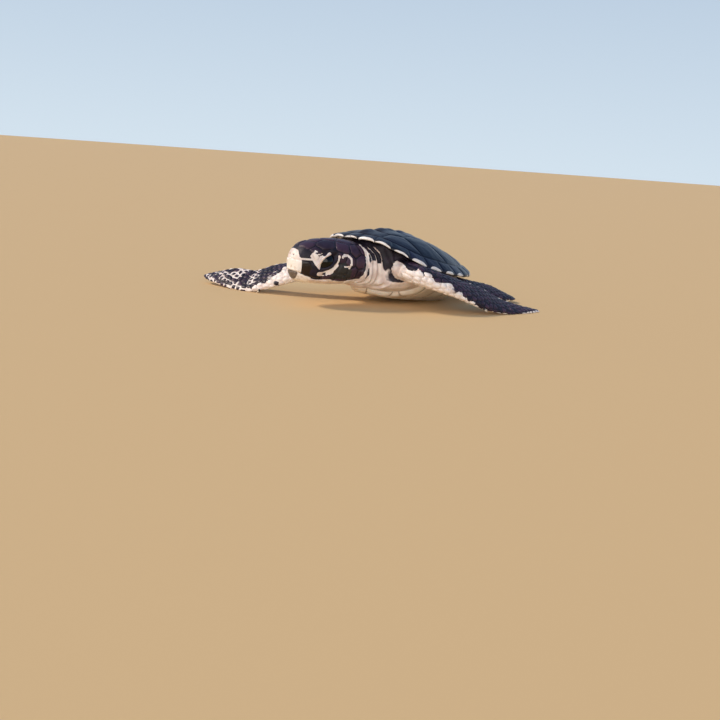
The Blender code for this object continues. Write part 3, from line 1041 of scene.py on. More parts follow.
@dataclass(frozen=True)
class HeadMarkings:
    """Where the head is white, dark or olive."""

    mouth: Stroke = Stroke(
        ((-0.9, -2.0), (0.9, -2.3), (2.8, -3.2), (5.6, -4.1), (9.0, -4.3), (12.6, -3.9)), 0.4
    )
    layers: tuple[tuple[Stroke | Patch, float], ...] = (  # painted in turn, with how white each is
        (Stroke(((1.5, 1.25), (4.2, 1.15)), 0.5), 1.0),  # along the upper edge of the beak
        (
            Patch(
                (
                    (3.7, 2.1), (4.4, 3.0), (5.6, 2.5), (7.0, 2.9), (7.4, 1.4), (6.5, 0.2), (6.2, -1.6),
                    (4.9, -0.3)
                )
            ),
            1.0,
        ),
        (Patch(((4.5, 3.2), (5.2, 3.8), (5.9, 3.3), (5.2, 2.8))), 0.8),
        (Stroke(((6.1, 2.2), (7.9, 2.75)), 0.4), 0.0),  # notch over the lid
        (Stroke(((6.0, -0.9), (6.5, 0.7), (7.5, 1.7), (8.9, 2.7)), 0.8), 1.0),  # on the upper lid
        (Stroke(((11.6, 2.1), (11.4, 0.8), (10.6, -0.8)), 0.5), 1.0),  # behind and under the eye
        (Stroke(((11.0, -0.4), (10.3, -1.3), (9.1, -2.1), (7.5, -2.6)), 0.9), 1.0),
        (Stroke(((9.6, -2.2), (7.8, -2.8), (6.2, -2.8)), 1.15), 0.9),
        (Patch(((7.2, -2.6), (8.2, -2.4), (7.9, -3.1), (7.0, -3.0))), 0.0),
        (
            Stroke(((12.5, 1.8), (13.1, 2.4), (14.2, 2.2), (15.2, 1.2), (15.2, -0.1), (14.6, -1.2)), 0.6),
            1.0,
        ),
        (Stroke(((13.2, -0.8), (14.1, -0.85)), 0.45), 0.9),
        (
            Stroke(((20.0, 5.4), (20.4, 3.8), (20.7, 2.0), (20.6, 0.2), (20.2, -2.0), (19.2, -4.2)), 1.1),
            1.0,
        ),
    )
    snout: Patch = Patch(
        (
            (-3.0, -2.45), (1.5, -2.7), (1.55, 0.4), (1.7, 1.35), (1.2, 1.8), (1.2, 2.6), (1.4, 3.4),
            (1.0, 4.1), (-3.0, 4.2)
        )
    )
    throat: Table = Table(
        (
            (-1.0, -3.7), (1.0, -3.6), (2.8, -3.5), (5.6, -4.4), (9.5, -4.4), (11.0, -4.8), (13.5, -5.0),
            (17.0, -4.5), (20.0, -4.2), (22.0, -2.5)
        )
    )
    cheek: Patch = Patch(
        ((9.0, -4.3), (10.6, -1.2), (12.2, 0.2), (13.4, 0.4), (15.6, -2.0), (15.4, -4.6)), 0.9
    )

    def pale(self, local: np.ndarray) -> np.ndarray:
        """How white the head is.

        Args:
            local: Rows of head coordinates.

        Returns:
            0 where it is dark to 1 where it is white.
        """
        places = local[:, (0, 2)]
        to_side = ramp(np.abs(local[:, 1]), 1.6, 3.0)
        white = np.zeros(len(local))
        for shape, value in self.layers:
            cover = shape.cover(places) * to_side
            white = white * (1 - cover) + value * cover
        white = np.maximum(white, self.snout.cover(places))
        below = self.throat.at(local[:, 0])[:, 0] - local[:, 2]
        under = ramp(local[:, 0], 0.7, 1.3) * np.maximum(
            ramp(below, -0.15, 0.25), ramp(np.abs(local[:, 1]), 4.4, 3.4) * ramp(local[:, 2], -3.0, -4.0)
        )
        return np.maximum(white, under)

    def olive(self, local: np.ndarray) -> np.ndarray:
        """How olive grey the cheek is, from 0 to 1."""
        return self.cheek.cover(local[:, (0, 2)])


@dataclass(frozen=True)
class LimbMarkings:
    """Where a flipper is white: underneath and round its leading edge."""

    border: Table  # share of the length, and degrees up from the leading edge where dark starts
    trailing: float = 0.93
    scallop: float = 14.0  # degrees
    scallops: float = 13.0  # along the whole length
    spots: float = 0.0  # share of the white that dark spots take
    edging: float = 0.0  # how white the skin round the outer scales is

    def pale(self, at: np.ndarray, across: np.ndarray, through: np.ndarray) -> np.ndarray:
        """How white the flipper is.

        Args:
            at: Shares of its length.
            across: Places across, 1 at the leading edge.
            through: Places through it, 1 on top.

        Returns:
            0 where it is dark to 1 where it is white.
        """
        rise = np.degrees(np.arctan2(through, across))
        waves = self.scallop * np.sin(at * 2 * np.pi * self.scallops + 1.5 * np.sin(at * 31.0))
        limit = self.border.at(at)[:, 0] + waves
        front = ramp(rise, limit + 4, limit - 4) * ramp(rise, -115.0, -100.0)
        rear = ramp(-across, self.trailing - 0.02, self.trailing + 0.05) * (through < 0.3)
        under = ramp(through, -0.25, -0.5) * np.maximum(
            ramp(at, 0.80, 0.72), ramp(np.abs(across), 0.55, 0.7)
        )
        places = np.stack((at * 24.0, across * 2.6, 0 * at), axis=1)
        spotted = self.spots * ramp(ripple(places, 1.0, 4.0), 0.2, 0.35) * ramp(at, 0.35, 0.5)
        return np.maximum.reduce((front * (1 - spotted), rear, under))

    def between_scales(self, at: np.ndarray, across: np.ndarray) -> np.ndarray:
        """How white the skin is between the scales of the outer part."""
        patches = ripple(np.stack((at * 24.0, across * 4.0, 0 * at), axis=1), 1.7, 3.0)
        return self.edging * ramp(at, 0.5, 0.62) * ramp(patches, -0.4, 0.25)


HEAD_MARKINGS = HeadMarkings()
FRONT = LimbKind(
    "front",
    "arm",
    claw_at=0.56,
    first_scale=0.16,
    scale_pitch=1.75,
    outline=Table(
        (
            (0.00, 4.5, 3.5, 0.0), (0.14, 4.5, 3.4, 0.0), (0.30, 4.5, 2.7, 0.1), (0.45, 5.1, 1.9, 0.6),
            (0.60, 5.3, 1.35, 1.1), (0.72, 4.6, 1.0, 1.1), (0.86, 3.5, 0.75, 0.7), (0.95, 2.5, 0.5, 0.2),
            (1.00, 1.2, 0.3, 0.0)
        )
    ),
)
HIND = LimbKind(
    "hind",
    "leg",
    claw_at=0.78,
    first_scale=0.24,
    scale_pitch=1.6,
    outline=Table(
        (
            (0.00, 3.2, 2.4, 0.0), (0.25, 3.2, 2.1, 0.0), (0.45, 3.9, 1.5, 0.0), (0.65, 4.7, 1.1, 0.0),
            (0.82, 4.6, 0.85, 0.0), (0.94, 3.1, 0.6, 0.0), (1.00, 1.2, 0.35, 0.0)
        )
    ),
)
HIND_MARKINGS = LimbMarkings(Table(((0.0, 20.0), (0.4, 0.0), (1.0, -8.0))))
LIMBS = (
    Limb(
        FRONT,
        Side.LEFT,
        (
            (8.0, 12.0, 11.6, 0.0), (13.5, 13.8, 11.2, 6.0), (19.0, 11.6, 9.6, 14.0),
            (24.2, 6.0, 7.2, 24.0), (28.2, -1.5, 4.0, 32.0), (31.4, -10.0, 1.5, 24.0),
            (34.0, -22.8, 0.3, 6.0)
        ),
        LimbMarkings(
            Table(
                (
                    (0.0, 30.0), (0.3, 38.0), (0.42, 24.0), (0.5, -4.0), (0.7, -14.0), (0.85, 0.0),
                    (1.0, 10.0)
                )
            )
        ),
    ),
    Limb(
        FRONT,
        Side.RIGHT,
        (
            (-8.0, 12.5, 10.6, 0.0), (-13.0, 17.0, 9.2, 8.0), (-18.0, 22.4, 7.8, 20.0),
            (-24.0, 27.6, 5.2, 32.0), (-31.5, 31.8, 2.1, 32.0), (-39.8, 33.6, 2.5, 40.0),
            (-49.8, 33.4, 2.4, 18.0)
        ),
        LimbMarkings(
            Table(
                (
                    (0.0, 105.0), (0.4, 95.0), (0.5, 66.0), (0.6, 34.0), (0.7, 4.0), (0.86, -20.0),
                    (1.0, -25.0)
                )
            ),
            spots=0.8,
            edging=0.9,
        ),
    ),
    Limb(
        HIND,
        Side.LEFT,
        (
            (6.5, -10.5, 6.2, 0.0), (9.4, -15.4, 5.6, 8.0), (13.0, -20.8, 4.5, 16.0),
            (16.2, -26.6, 3.0, 18.0), (19.0, -32.8, 1.2, 6.0)
        ),
        HIND_MARKINGS,
    ),
    Limb(
        HIND,
        Side.RIGHT,
        (
            (-6.5, -11.0, 6.2, 0.0), (-10.6, -15.4, 5.2, 6.0), (-14.8, -19.0, 3.6, 16.0),
            (-19.0, -22.0, 1.9, 14.0), (-23.6, -24.6, 0.7, 4.0)
        ),
        HIND_MARKINGS,
    ),
)


# Eyes -----------------------------------------------------------------------------------------


@dataclass(frozen=True)
class Eye:
    """One eye: a ball with a raised cornea, looking out sideways and a little ahead."""

    side: Side
    behind: float = 8.8
    out: float = 3.85
    up: float = 0.4
    radius: float = 3.1
    opening: tuple[float, float] = (2.45, 1.2)  # half width and half height between the lids
    slant: float = 38.0  # degrees that the opening's front corner lies lower
    inset: float = 0.12  # how far the ball lies inside its socket
    cornea: float = 0.16
    cornea_angle: float = 38.0
    iris_angle: float = 60.0  # degrees from the middle of the gaze to the edge of the iris
    look: tuple[float, float] = (0.16, 0.10)  # how far ahead and up it looks, for one outwards

    def centre(self) -> np.ndarray:
        """The middle of the ball."""
        return HEAD.out((self.behind, self.out * self.side.value, self.up))

    def axes(self) -> np.ndarray:
        """The eye's three directions.

        Returns:
            Rows of (x, f, z): along the opening to its rear corner, across it upwards, and outwards.
        """
        back, left, above = HEAD.axes()
        gaze = unit(left * self.side.value - back * self.look[0] + above * self.look[1])
        slant = math.radians(self.slant)
        rear = back * math.cos(slant) + above * math.sin(slant)
        rear = unit(rear - gaze * (rear @ gaze))
        rise = unit(above - gaze * (above @ gaze) - rear * (above @ rear))
        return np.stack((rear, rise, gaze))

    def build(self, finish: bpy.types.Material) -> bpy.types.Object:
        """Makes the ball.

        Args:
            finish: Its material.

        Returns:
            The eye, in place of its CAD node.
        """
        mesh, points = ball(56, 36)
        gaze = unit(points)
        angle = np.degrees(np.arccos(np.clip(gaze[:, 2], -1, 1)))
        radius = self.radius - self.inset + self.cornea * ramp(angle, self.cornea_angle, 0.0)
        move_to(mesh, self.centre() + (gaze * radius[:, None]) @ self.axes())
        mark(mesh, "iris", angle / self.iris_angle)
        word = self.side.word
        return finished(f"eyeball_{word}", mesh, Slot.EYE, finish, f"eye_{word}")


EYES = (Eye(Side.LEFT), Eye(Side.RIGHT))


# Skin -----------------------------------------------------------------------------------------


@dataclass
class Skin:
    """One skin over all the flesh, with lids, nostrils, mouth line and folds."""

    voxel: float = 0.33
    swell: float = 0.22  # closes the gaps between the nodes
    filling_swell: float = 0.14  # of the eyes and beak that the skin closes over
    lid_height: float = 0.34
    lid_width: float = 0.4125
    lid_crease: float = 0.16
    mouth_depth: float = 0.34
    mouth_width: float = 0.24
    lip_height: float = 0.10
    nostril: tuple[float, float] = (1.05, 2.1)  # to each side of the middle, and up
    nostril_depth: float = 0.45
    nostril_radius: float = 0.3
    brow_height: float = 0.30
    fold_height: float = 0.24
    fold_pitch: float = 1.7
    fold_bend: float = 0.06  # how strongly the folds bend back at the sides
    sleeve_height: float = 0.12
    sleeve_pitch: float = 1.9
    grain_height: float = 0.05
    roll_height: float = 0.55  # of the skin over the belly plate's edge
    hidden_share: float = 0.08  # of the faces kept deep inside the shell
    hidden_oval: tuple[float, float, float] = (14.5, 17.5, 0.5)  # half width, half length, middle's place
    fine_reach: float = 18.6  # how far behind the snout the faces are halved
    collar: float = 17.0  # forward place where the trunk takes up the neck's folds
    flesh: tuple[str, ...] = (
        "head", "lower_jaw", "neck", "trunk", "tail", *(name for limb in LIMBS for name in limb.nodes)
    )
    regions: dict[str, np.ndarray] = field(default_factory=dict)

    def build(self, finish: bpy.types.Material) -> bpy.types.Object:
        """Makes the skin.

        Args:
            finish: Its material.

        Returns:
            The skin, in place of all the flesh nodes.
        """
        bm = node_copy(list(self.flesh), self.swell)
        filling = node_copy(["eye_left", "eye_right", "upper_beak", "lower_beak"], self.filling_swell)
        bm.from_mesh(to_mesh(filling, "filling"))
        mesh = self.thinned(remeshed(bm, self.voxel))
        self.find_regions(coordinates(mesh))
        points = relaxed(coordinates(mesh), edge_pairs(mesh), 0.5, 4)
        move_to(mesh, points)
        move_to(mesh, points - outward(mesh) * self.swell)
        mesh = self.refined(mesh)
        self.find_regions(coordinates(mesh))
        self.shape(mesh)
        self.mark(mesh)
        return finished("skin", mesh, Slot.SKIN, finish, *self.flesh)

    def find_regions(self, points: np.ndarray) -> None:
        """Notes which node each point lies nearest to.

        Args:
            points: The skin's points.
        """
        vertices, faces, owner = [], [], []
        for number, name in enumerate(self.flesh):
            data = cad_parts[name].data
            start = len(vertices)
            vertices.extend(Vector(p) for p in to_turtle([v.co[:] for v in data.vertices]))
            faces.extend(tuple(start + i for i in polygon.vertices) for polygon in data.polygons)
            owner.extend([number] * len(data.polygons))
        tree = BVHTree.FromPolygons(vertices, faces)
        nearest = np.array([owner[tree.find_nearest(Vector(p))[2]] for p in points])
        self.regions = {name: nearest == number for number, name in enumerate(self.flesh)}

    def region(self, *names: str) -> np.ndarray:
        """True for the points nearest to any of these nodes."""
        return np.logical_or.reduce([self.regions[name] for name in names])

    def thinned(self, mesh: bpy.types.Mesh) -> bpy.types.Mesh:
        """Fewer faces deep inside the shell, where nothing shows.

        Args:
            mesh: The even skin.

        Returns:
            The thinned skin.
        """
        points = coordinates(mesh)
        half_width, half_length, middle = self.hidden_oval
        inside = np.hypot(points[:, 0] / half_width, (points[:, 1] - middle) / half_length) < 1.0
        body = in_scene("thinned", mesh)
        group = body.vertex_groups.new(name="hidden")
        group.add(np.flatnonzero(inside).tolist(), 1.0, "REPLACE")
        modifier = body.modifiers.new("thin_inside", "DECIMATE")
        modifier.vertex_group = group.name
        modifier.ratio = 1 - inside.mean() * (1 - self.hidden_share)
        return applied(body)

    def refined(self, mesh: bpy.types.Mesh) -> bpy.types.Mesh:
        """The head's faces halved each way, for its finer shapes.

        Args:
            mesh: The skin.

        Returns:
            The finer skin.
        """
        local = HEAD.local(coordinates(mesh))
        fine = (local[:, 0] < self.fine_reach) & (np.abs(local[:, 1]) < 8.5) & (np.abs(local[:, 2]) < 8.0)
        bm = bmesh.new()
        bm.from_mesh(mesh)
        edges = [edge for edge in bm.edges if all(fine[vert.index] for vert in edge.verts)]
        bmesh.ops.subdivide_edges(bm, edges=edges, cuts=1, use_grid_fill=True)
        finer = to_mesh(bm, "finer")
        bpy.data.meshes.remove(mesh)
        local = HEAD.local(coordinates(finer))
        soft = ramp(local[:, 0], self.fine_reach + 1.0, self.fine_reach - 0.5) * 0.5
        soft = soft * (np.abs(local[:, 2]) < 8.0)
        move_to(finer, relaxed(coordinates(finer), edge_pairs(finer), soft, 3))
        return finer

    def shape(self, mesh: bpy.types.Mesh) -> None:
        """Adds the folds and the features of the face.

        Args:
            mesh: The skin.
        """
        points, normals = coordinates(mesh), outward(mesh)
        local = HEAD.local(points)
        on_head = self.region("head", "lower_jaw") & (local[:, 0] < HEAD.length)
        side_view = local[:, (0, 2)]
        height = np.zeros(len(points))
        line = HEAD_MARKINGS.mouth.distance(side_view)
        height -= self.mouth_depth * bell(line, self.mouth_width) * on_head
        height += self.lip_height * bell(line - 0.7, 0.4) * on_head * (local[:, 0] > 4)
        off = self.from_nostril(local)
        hole = self.nostril_depth * bell(off, self.nostril_radius)
        height += on_head * (self.lip_height * bell(off - 0.55, 0.25) - hole)
        height += on_head * self.brow_height * self.brow(local)
        neck = self.region("neck") | (self.region("trunk") & (points[:, 1] > self.collar))
        folds = self.folds(points, 1.1, 5.0)
        height += neck * self.fold_height * (np.abs(folds) ** 0.7 * np.sign(folds))
        sleeve = np.zeros(len(points))
        for limb in LIMBS:
            own = self.region(*limb.nodes)
            at = limb.locate(points[own])[0]
            turns = at * limb.length * 2 * np.pi / self.sleeve_pitch
            creases = np.sin(turns + 2.0 * ripple(points[own], 3.0))
            sleeve[own] = self.sleeve_height * creases * ramp(at, 0.24, 0.12)
        height += sleeve
        height += self.grain_height * ripple(points, 1.6, 7.0)
        over_plate = points[:, 2] - SHELL.belly_height(points[:, 0], points[:, 1]) - 0.95
        height += self.roll_height * bell(over_plate - 1.0, 1.3) * self.region("trunk", "neck")
        points = points + normals * height[:, None]
        for eye in EYES:
            points = self.around_eye(points, eye, on_head)
        points[:, 2] = np.maximum(points[:, 2], 0.0)
        move_to(mesh, points)

    def folds(self, points: np.ndarray, wander: float, size: float) -> np.ndarray:
        """The neck's folds, from -1 in a groove to 1 on a fold, with noise of that size in them."""
        phase = points[:, 1] + self.fold_bend * np.abs(points[:, 0]) ** 1.5 + wander * ripple(points, size)
        return np.sin(2 * np.pi * phase / self.fold_pitch)

    def from_nostril(self, local: np.ndarray) -> np.ndarray:
        """How far the snout's points are from the nearer nostril, as seen from in front.

        Args:
            local: Rows of head coordinates.

        Returns:
            Millimetres, or a long way for points behind the snout.
        """
        aside, up = self.nostril
        off = np.hypot((np.abs(local[:, 1]) - aside) / 1.2, local[:, 2] - up)
        return np.where(local[:, 0] < 2.5, off, 9.0)

    def brow(self, local: np.ndarray) -> np.ndarray:
        """How much the brow over the eye and the cheek behind it stand out.

        Args:
            local: Rows of head coordinates.

        Returns:
            0 for the head's plain form to about 1 on the brow.
        """
        over = bell(local[:, 0] - 9.0, 3.6) * bell(local[:, 2] - 3.6, 1.3)
        cheek = bell(local[:, 0] - 15.0, 3.2) * bell(local[:, 2] + 0.8, 2.8)
        return (over + 0.8 * cheek) * ramp(np.abs(local[:, 1]), 2.0, 4.0)

    def around_eye(self, points: np.ndarray, eye: Eye, on_head: np.ndarray) -> np.ndarray:
        """Opens the skin over an eye and rolls its lids.

        Args:
            points: The skin's points.
            eye: The eye to open it for.
            on_head: True for the points that belong to the head.

        Returns:
            The points with the lids shaped.
        """
        off = (points - eye.centre()) @ eye.axes().T
        reach = np.linalg.norm(off, axis=1)
        half_width, half_height = eye.opening
        flat = off[:, :2] / np.maximum(reach, 1e-6)[:, None] * eye.radius
        pointed = 1 + 0.10 * (flat[:, 0] / half_width) ** 2
        ring = np.hypot(flat[:, 0] / half_width, flat[:, 1] / half_height * pointed)
        past = (ring - 1) * half_height
        near = on_head & (off[:, 2] > 0.2) & (ring < 2.2)
        inside = ramp(past, 0.02, -0.10)
        lid = ramp(past, -0.04, 0.10) * ramp(past, 1.4, 0.5)
        roll = self.lid_height * bell(past - 0.28, self.lid_width)
        crease = -self.lid_crease * bell(past - 0.95, 0.22)
        closed = reach * (1 - lid) + np.maximum(reach, eye.radius + 0.02) * lid + roll * lid + crease
        radius = closed * (1 - inside) + (eye.radius - 0.55) * inside
        radius = np.where(near, radius, reach)
        blend_out = ramp(ring, 2.2, 1.9)
        radius = radius * blend_out + reach * (1 - blend_out)
        return points + unit(points - eye.centre()) * (radius - reach)[:, None] * near[:, None]

    def mark(self, mesh: bpy.types.Mesh) -> None:
        """Stores where the skin is white and where it is olive.

        Args:
            mesh: The finished skin.
        """
        points = coordinates(mesh)
        local = HEAD.local(points)
        pale = self.body_pale(points)
        on_head = ramp(local[:, 0], 21.5, 20.9) * self.region("head", "lower_jaw", "neck")
        # painted shade: the nostril holes are painted dark
        face = HEAD_MARKINGS.pale(local) * (1 - 0.9 * bell(self.from_nostril(local), self.nostril_radius))
        pale = pale * (1 - on_head) + face * on_head
        for limb in LIMBS:
            own = self.region(*limb.nodes)
            at, across, through = limb.locate(points[own])
            edging = limb.markings.between_scales(at, across)
            pale[own] = np.maximum(limb.markings.pale(at, across, through), edging)
        mark(mesh, "pale", pale)
        mark(mesh, "olive", HEAD_MARKINGS.olive(local) * on_head)

    def body_pale(self, points: np.ndarray) -> np.ndarray:
        """How white neck, trunk and tail are.

        Args:
            points: Rows of (x, f, z).

        Returns:
            0 where the skin is dark to 1 where it is white.
        """
        middle = np.where(points[:, 1] > 12, 9.9, 5.2 + 0.09 * (points[:, 1] + 12))
        middle = middle + 1.6 * ramp(points[:, 1], 18.0, 20.0)
        on_tail = ramp(points[:, 1], -19.0, -21.0)
        middle = middle * (1 - on_tail) + (2.0 + 0.3 * (points[:, 1] + 20.5)) * on_tail
        side = points[:, 2] - middle + 1.3 * ripple(points, 2.2, 3.0)
        below = ramp(side, 2.2, 0.2)
        streaks = ramp(self.folds(points, 0.5, 3.0), 0.5, 0.9)
        neck = ramp(points[:, 1], 17.5, 19.0) * ramp(points[:, 2], 17.8, 16.0)
        # painted shade: the skin under the shell's front edge, over the shoulder, is painted dark
        shell_shade_wedge = bell(points[:, 1] - 16.0, 2.4) * ramp(points[:, 2], 6.5, 8.0)
        return np.maximum(below, 0.75 * streaks * neck) * (1 - 0.9 * shell_shade_wedge)


# Scales ---------------------------------------------------------------------------------------


@dataclass
class Scales:
    """Horny scales over a part of the skin, grown from seeds on its own unrolled form."""

    name: str
    thickness: float = 0.13
    shoulder: float = 0.24  # how far in from its edge a scale reaches its full height
    root_depth: float = 0.06  # how deep its edge lies in the skin
    keel: float = 0.14  # how much deeper its underside's middle lies than its edge
    gap: float = 0.12
    segments: int = 7
    tilt: float = 0.03  # how much a scale's far edge stands over the next one's root
    rows: list[np.ndarray] = field(default_factory=list)  # chart, root, tone, depth of each point
    together: bmesh.types.BMesh = field(default_factory=bmesh.new)

    def grow(
        self, seed: np.ndarray, neighbours: np.ndarray, weights: np.ndarray, reach: float, tone: float
    ) -> None:
        """Adds one scale.

        Args:
            seed: Where it grew from on the unrolled form.
            neighbours: Where the scales round it grew from.
            weights: How strongly each of those pushes its own edge outwards.
            reach: The farthest that the scale may go.
            tone: Its shade, from 0 to 1.
        """
        bm = bmesh.new()
        bmesh.ops.create_grid(bm, x_segments=self.segments, y_segments=self.segments, size=reach)
        middle = Vector((seed[0], seed[1], 0.0))
        bmesh.ops.translate(bm, verts=bm.verts, vec=middle)
        cuts = []
        for place, weight in zip(neighbours, weights):
            off = Vector((place[0] - seed[0], place[1] - seed[1], 0.0))
            apart = off.length
            where = (apart * apart - weight) / (2 * apart) - self.gap / 2
            if where < reach * 1.5:
                cuts.append((off / apart, where))
        for direction, where in cuts:
            bmesh.ops.bisect_plane(
                bm, geom=[*bm.verts, *bm.edges, *bm.faces], plane_co=middle + direction * where,
                plane_no=direction, clear_outer=True
            )
        if len(bm.faces) < 2:
            bm.free()
            return
        rim = [edge for edge in bm.edges if edge.is_boundary]
        underside = bmesh.ops.contextual_create(bm, geom=rim)["faces"]
        middles = bmesh.ops.poke(bm, faces=underside)["verts"]
        bm.verts.index_update()
        chart = np.array([vert.co[:2] for vert in bm.verts])
        limits = [where - (chart - seed) @ np.array(direction[:2]) for direction, where in cuts]
        edges = [reach - np.abs(chart - seed)[:, k] for k in range(2)]
        depth = np.minimum.reduce([*limits, *edges])
        depth[[vert.index for vert in middles]] = -self.keel
        self.rows.append(np.column_stack((chart, np.tile((*seed, tone), (len(chart), 1)), depth)))
        part = to_mesh(bm, "scale")
        self.together.from_mesh(part)
        bpy.data.meshes.remove(part)

    def grown(self) -> tuple[np.ndarray, np.ndarray, np.ndarray, np.ndarray]:
        """Each point's place on the unrolled form, its scale's root there, its depth and its tone."""
        rows = np.concatenate(self.rows)
        return rows[:, :2], rows[:, 2:4], rows[:, 5], rows[:, 4]

    def laid(self, points: np.ndarray, skin: BVHTree) -> bpy.types.Mesh:
        """Lays the scales on the skin.

        Args:
            points: Where each point of the scales lies on the part's plain form.
            skin: The skin to lie on, in turtle millimetres.

        Returns:
            The mesh of all the scales.
        """
        chart, root, depth, tone = self.grown()
        sunk, depth = np.minimum(depth, 0.0), np.maximum(depth, 0.0)
        raised = rounded(depth / self.shoulder)
        height = sunk - self.root_depth + (self.thickness + self.root_depth) * raised
        height += self.tilt * (chart - root)[:, 0] * raised
        placed = np.empty_like(points)
        for i, point in enumerate(points):
            where, normal, _, _ = skin.find_nearest(Vector(point))
            placed[i] = where + normal * height[i]
        mesh = to_mesh(self.together, self.name)
        placed[:, 2] = np.maximum(placed[:, 2], 0.0)
        move_to(mesh, placed)
        mark(mesh, "edge", depth / self.shoulder)
        mark(mesh, "tone", tone)
        return mesh

    def outlined(self, mesh: bpy.types.Mesh) -> bpy.types.Mesh:
        """Turns every scale's faces outwards.

        Args:
            mesh: The scales.

        Returns:
            The same mesh.
        """
        bm = bmesh.new()
        bm.from_mesh(mesh)
        bmesh.ops.recalc_face_normals(bm, faces=bm.faces)
        bm.to_mesh(mesh)
        bm.free()
        return mesh

    def unwrap(self, mesh: bpy.types.Mesh, spread: np.ndarray, patch: float) -> None:
        """Gives each scale its patch of the map, at its root's place on the unrolled part.

        Args:
            mesh: The scales.
            spread: The unrolled part's length and breadth.
            patch: The width of a patch for each millimetre of scale.
        """
        chart, root, _, _ = self.grown()
        place = 0.02 + 0.96 * np.clip(root / spread + (0.0, 0.5), 0.0, 1.0) + (chart - root) * patch
        layer = mesh.uv_layers.new(name="OFBake")
        corners = read(mesh.loops, "vertex_index", 1, np.int64)[:, 0]
        layer.data.foreach_set("uv", place[corners].astype(np.float32).ravel())


@dataclass
class LimbScales:
    """The scales round one flipper."""

    limb: Limb
    stations: int = 90
    row_pitch: float = 0.88  # from one row to the next, for each millimetre between scales
    wobble: float = 0.18
    reach: float = 0.95
    patch: float = 0.003  # width of one scale's patch on the OFBake map

    def half_girths(self) -> tuple[np.ndarray, np.ndarray, np.ndarray]:
        """The way round the section, from the leading to the trailing edge.

        Returns:
            Shares of the limb's length, turns of the section, and the way gone at each.
        """
        shares = np.linspace(0.0, 1.0, self.stations)
        turns = np.linspace(0.0, np.pi, 49)
        flat = np.repeat(shares, len(turns))
        points = self.limb.surface(flat, np.tile(turns, len(shares))).reshape(len(shares), len(turns), 3)
        steps = np.linalg.norm(np.diff(points, axis=1), axis=2)
        way = np.concatenate((np.zeros((len(shares), 1)), np.cumsum(steps, axis=1)), axis=1)
        return shares, turns, way

    def on_section(self, chart: np.ndarray) -> tuple[np.ndarray, np.ndarray]:
        """Where unrolled places lie on the limb.

        Args:
            chart: Rows of millimetres along the limb and millimetres round it.

        Returns:
            Shares of its length and turns of the section.
        """
        shares, turns, way = self.half_girths()
        at = np.clip(chart[:, 0] / self.limb.length, 0.0, 1.0)
        limit = np.interp(at, shares, way[:, -1])
        around = (chart[:, 1] + limit) % (2 * limit) - limit
        nearest = np.clip(np.rint(at * (self.stations - 1)).astype(int), 0, self.stations - 1)
        turn = np.empty(len(chart))
        for station in np.unique(nearest):
            own = nearest == station
            turn[own] = np.interp(np.abs(around[own]) / limit[own] * way[station, -1], way[station], turns)
        return at, turn * np.sign(around)

    def build(self, skin: BVHTree, finish: bpy.types.Material) -> bpy.types.Object:
        """Grows the scales and lays them on the skin.

        Args:
            skin: The skin to lie on.
            finish: Their material.

        Returns:
            The scales as one piece.
        """
        shares, _, way = self.half_girths()
        half = way[:, -1]
        length, pitch, start = self.limb.length, self.limb.kind.scale_pitch, self.limb.kind.first_scale
        picks = np.random.default_rng(len(self.limb.name) * 7 + self.limb.side.value)
        seeds, girths = [], []
        rows = int(length * (1 - start) / (pitch * self.row_pitch))
        for row in range(rows + 1):
            along = length * start + row * pitch * self.row_pitch
            girth = 2 * np.interp(along / length, shares, half)
            count = max(4, round(girth / pitch))
            for k in range(count):
                around = ((k + 0.5 * (row % 2)) / count - 0.5) * girth
                wobble = picks.uniform(-self.wobble, self.wobble, 2) * pitch
                seeds.append((along + wobble[0], around + wobble[1]))
                girths.append((0.0, girth))
        seeds, girths = np.array(seeds), np.array(girths)
        wrapped = np.concatenate((seeds, seeds + girths, seeds - girths))
        scales = Scales(f"scales_{self.limb.name}")
        for seed in seeds:
            apart = np.linalg.norm(wrapped - seed, axis=1)
            close = wrapped[(apart < pitch * 2.6) & (apart > 1e-6)]
            scales.grow(seed, close, np.zeros(len(close)), pitch * self.reach, picks.uniform())
        chart, root, depth, _ = scales.grown()
        at, turn = self.on_section(chart)
        mesh = scales.laid(self.limb.surface(at, turn), skin)
        root_at, root_turn = self.on_section(root)
        markings = self.limb.markings
        whole = markings.pale(root_at, np.cos(root_turn), np.sin(root_turn))
        pale = 0.8 * whole + 0.2 * markings.pale(at, np.cos(turn), np.sin(turn))
        edge = ramp(depth / scales.shoulder, 1.1, 0.5)
        mark(mesh, "pale", np.maximum(pale, edge * markings.between_scales(at, np.cos(turn))))
        mark(mesh, "olive", np.zeros(len(at)))
        scales.unwrap(mesh, np.array((length, 2 * half.max())), self.patch / pitch)
        return finished(scales.name, scales.outlined(mesh), Slot.SKIN, finish)


